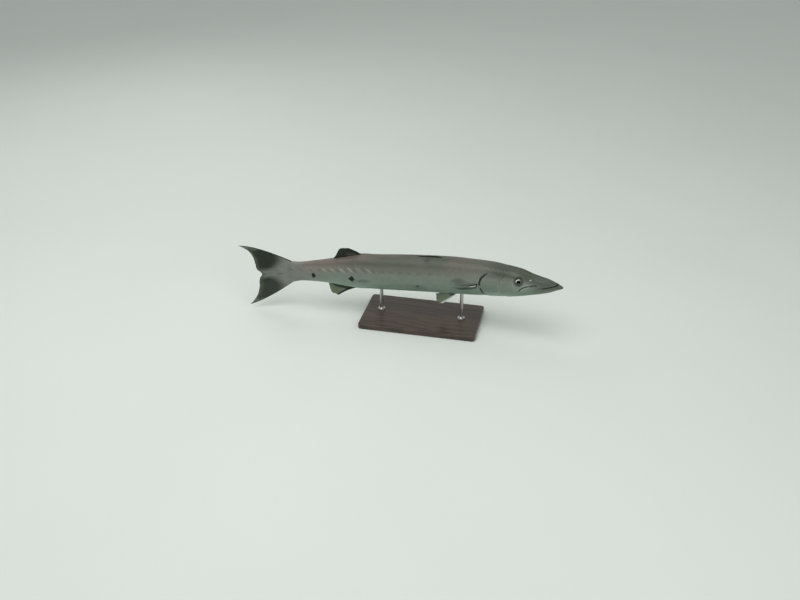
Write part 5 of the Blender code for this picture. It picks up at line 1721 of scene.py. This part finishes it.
def makePectoralMaterial():
    # Much like the skin behind it, with a black front end and first ray, a white streak beside that ray
    # near the root, and a dark lower half that is painted shade under the fin
    material, tree, sockets, values, place = newFinMaterial("pectoralFin")
    mottle, fine = addNoise(tree, place, 200.0, 3.0), addNoise(tree, place, 900.0, 2.0)
    along, across = values["along"], values["across"]
    values["acrossHere"] = addMath(tree, "ADD", across, addWander(tree, mottle, 0.12))
    values["front"] = addMath(
        tree, "MAXIMUM", addStep(tree, across, 0.19, 0.13), addStep(tree, along, 0.18, 0.13))
    colour = addMarks(tree, finColours["membrane"], values, finColours, finMarks["pectoral"])
    finishFin(tree, sockets, addScale(tree, colour, addStep(tree, fine, 0.2, 0.8, 0.88, 1.12)), fine)
    return material


for seed, (key, fin) in enumerate(medianFins.items()):
    slot = "dark_fins" if fin["above"] else "pale_fins"
    dress(makeMedianFin("fin." + key, fin, 21 + seed), makeFinMaterial(key), slot, fin["node"])
tailMaterial, pectoralMaterial = makeTailMaterial(), makePectoralMaterial()
pelvicMaterial = makeFinMaterial("pelvic")
for seed, (label, lobe) in enumerate(tailLobes.items()):
    dress(makeTailLobe("fin.tail" + label, lobe, 31 + seed), tailMaterial, "dark_fins", lobe["node"])
for side, label in ((1, "left"), (-1, "right")):
    pectoral, pelvic = "fin.pectoral." + label, "fin.pelvic." + label
    dress(makePectoral(pectoral, side, 41 + side), pectoralMaterial, "pale_fins", "pectoral_fin_" + label)
    dress(makePelvic(pelvic, side, 45 + side), pelvicMaterial, "pale_fins", "pelvic_fin_" + label)


# Stand

stand = {
    "woodDark": (0.020, 0.011, 0.007), "woodLight": (0.070, 0.040, 0.024),
    "steel": (0.56, 0.56, 0.54), "brushed": (0.44, 0.44, 0.43), "worn": (0.34, 0.33, 0.31),
}


def makeWoodMaterial():
    # Grain: noise drawn out along the base, with finer pores drawn out further
    material, tree, sockets = newMaterial("darkWood", Coat_Weight=0.35, Coat_Roughness=0.18)
    place = addNode(tree, "ShaderNodeTexCoord").outputs["Object"]
    across = addNode(tree, "ShaderNodeSeparateXYZ", {0: place}).outputs[1]
    bend = addNoise(tree, addStretch(tree, place, (2.0, 9.0, 9.0)), 1.6, 3.0)
    phase = addProduct(tree, addMath(tree, "ADD", bend, addProduct(tree, across, 6.0)), 34.0)
    rings = addStep(tree, addMath(tree, "SINE", phase), -1.0, 1.0, 0.0, 0.55)
    pores = addNoise(tree, addStretch(tree, place, (14.0, 420.0, 420.0)), 1.0, 4.0, 0.7)
    share = addMath(tree, "ADD", rings, addProduct(tree, pores, 0.45))
    colour = addMix(tree, share, stand["woodDark"], stand["woodLight"])
    finish(tree, sockets, colour, (pores, 0.00025, 0.5), (pores, 0.3, 0.8, 0.30, 0.44))
    return material


def makeSteelMaterial():
    # Brushed round the rod: noise drawn out round it, fine along it
    material, tree, sockets = newMaterial("brushedSteel", Metallic=1.0)
    place = addNode(tree, "ShaderNodeTexCoord").outputs["Object"]
    brush = addNoise(tree, addStretch(tree, place, (30.0, 30.0, 2600.0)), 1.0, 3.0, 0.7)
    values = {"brush": brush, "wear": addNoise(tree, place, 60.0, 3.0)}
    marks = (("brushed", ("brush", 0.3, 0.7)), ("worn", ("wear", 0.55, 0.8, 0.0, 0.35)))
    colour = addMarks(tree, stand["steel"], values, stand, marks)
    finish(tree, sockets, colour, (brush, 0.00008, 0.4), (brush, 0.2, 0.8, 0.24, 0.40))
    return material


def refinish(node, material):
    # A solid of the frame with a new material
    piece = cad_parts[node]
    piece.data.materials.clear()
    piece.data.materials.append(material)


refinish("stand_base", makeWoodMaterial())
steelMaterial = makeSteelMaterial()
for node in ("stand_rod_front", "stand_rod_rear"):
    refinish(node, steelMaterial)
print("stand: done")


# Floor, light and camera

studio = {
    "floorColour": (0.70, 0.74, 0.70), "floorHalf": 14.0, "worldColour": (0.80, 0.84, 0.82),
    "worldStrength": 0.55,
    "lamps": (                  # place, aim, size, power
        ((-0.6, -0.9, 3.2), (0.0, 0.0, 0.15), 2.6, 62.0),
        ((2.4, -2.2, 1.7), (0.2, 0.0, 0.15), 1.8, 16.0),
        ((-2.2, 2.0, 2.2), (-0.2, 0.0, 0.15), 1.8, 14.0),
    ),
    "cameraPlace": (0.5595, -2.8118, 1.6725), "cameraAzimuth": 12.757, "cameraElevation": 29.128,
    "lens": 43.456,
}


def makeFloor():
    # A square under everything, its paint slightly clouded
    half = studio["floorHalf"]
    points = np.array([(-half, -half, 0), (half, -half, 0), (half, half, 0), (-half, half, 0)], float)
    floor = makeMesh("floor", points, [[0, 1, 2, 3]], smooth=False)
    material, tree, sockets = newMaterial("floorPaint", Roughness=0.75)
    cloud = addNoise(tree, addNode(tree, "ShaderNodeTexCoord").outputs["Object"], 1.1, 3.0)
    darker = tuple(0.94 * part for part in studio["floorColour"])
    colour = addMix(tree, addStep(tree, cloud, 0.3, 0.7, 0.0, 0.35), studio["floorColour"], darker)
    tree.links.new(colour, sockets["Base Color"])
    floor.data.materials.append(material)


def aim(lamp, place, target):
    # Puts a lamp at a place, facing a target
    lamp.location = place
    lamp.rotation_euler = (Vector(place) - Vector(target)).to_track_quat("Z", "Y").to_euler()


def makeLights():
    # Square lamps aimed at the fish, and an even world
    for i, (place, target, size, power) in enumerate(studio["lamps"]):
        lamp = bpy.data.lights.new(f"softbox{i}", "AREA")
        lamp.shape = "SQUARE"
        lamp.size = size
        lamp.energy = power
        aim(addObject(f"softbox{i}", lamp), place, target)
    world = bpy.data.worlds.new("studio")
    world.use_nodes = True
    background = world.node_tree.nodes["Background"].inputs
    background[0].default_value = (*studio["worldColour"], 1.0)
    background[1].default_value = studio["worldStrength"]
    bpy.context.scene.world = world


def makeCamera():
    # Looks back along the way that azimuth and elevation give
    camera = bpy.data.cameras.new("camera")
    camera.lens = studio["lens"]
    camera.sensor_width = 36.0
    camera.clip_end = 60.0
    thing = addObject("camera", camera)
    azimuth, elevation = math.radians(studio["cameraAzimuth"]), math.radians(studio["cameraElevation"])
    level = math.cos(elevation)
    away = Vector((math.sin(azimuth) * level, -math.cos(azimuth) * level, math.sin(elevation)))
    thing.location = studio["cameraPlace"]
    thing.rotation_euler = away.to_track_quat("Z", "Y").to_euler()
    bpy.context.scene.camera = thing


makeFloor()
makeLights()
makeCamera()
print("studio: done")
bpy.context.scene.view_settings.view_transform = "Standard"
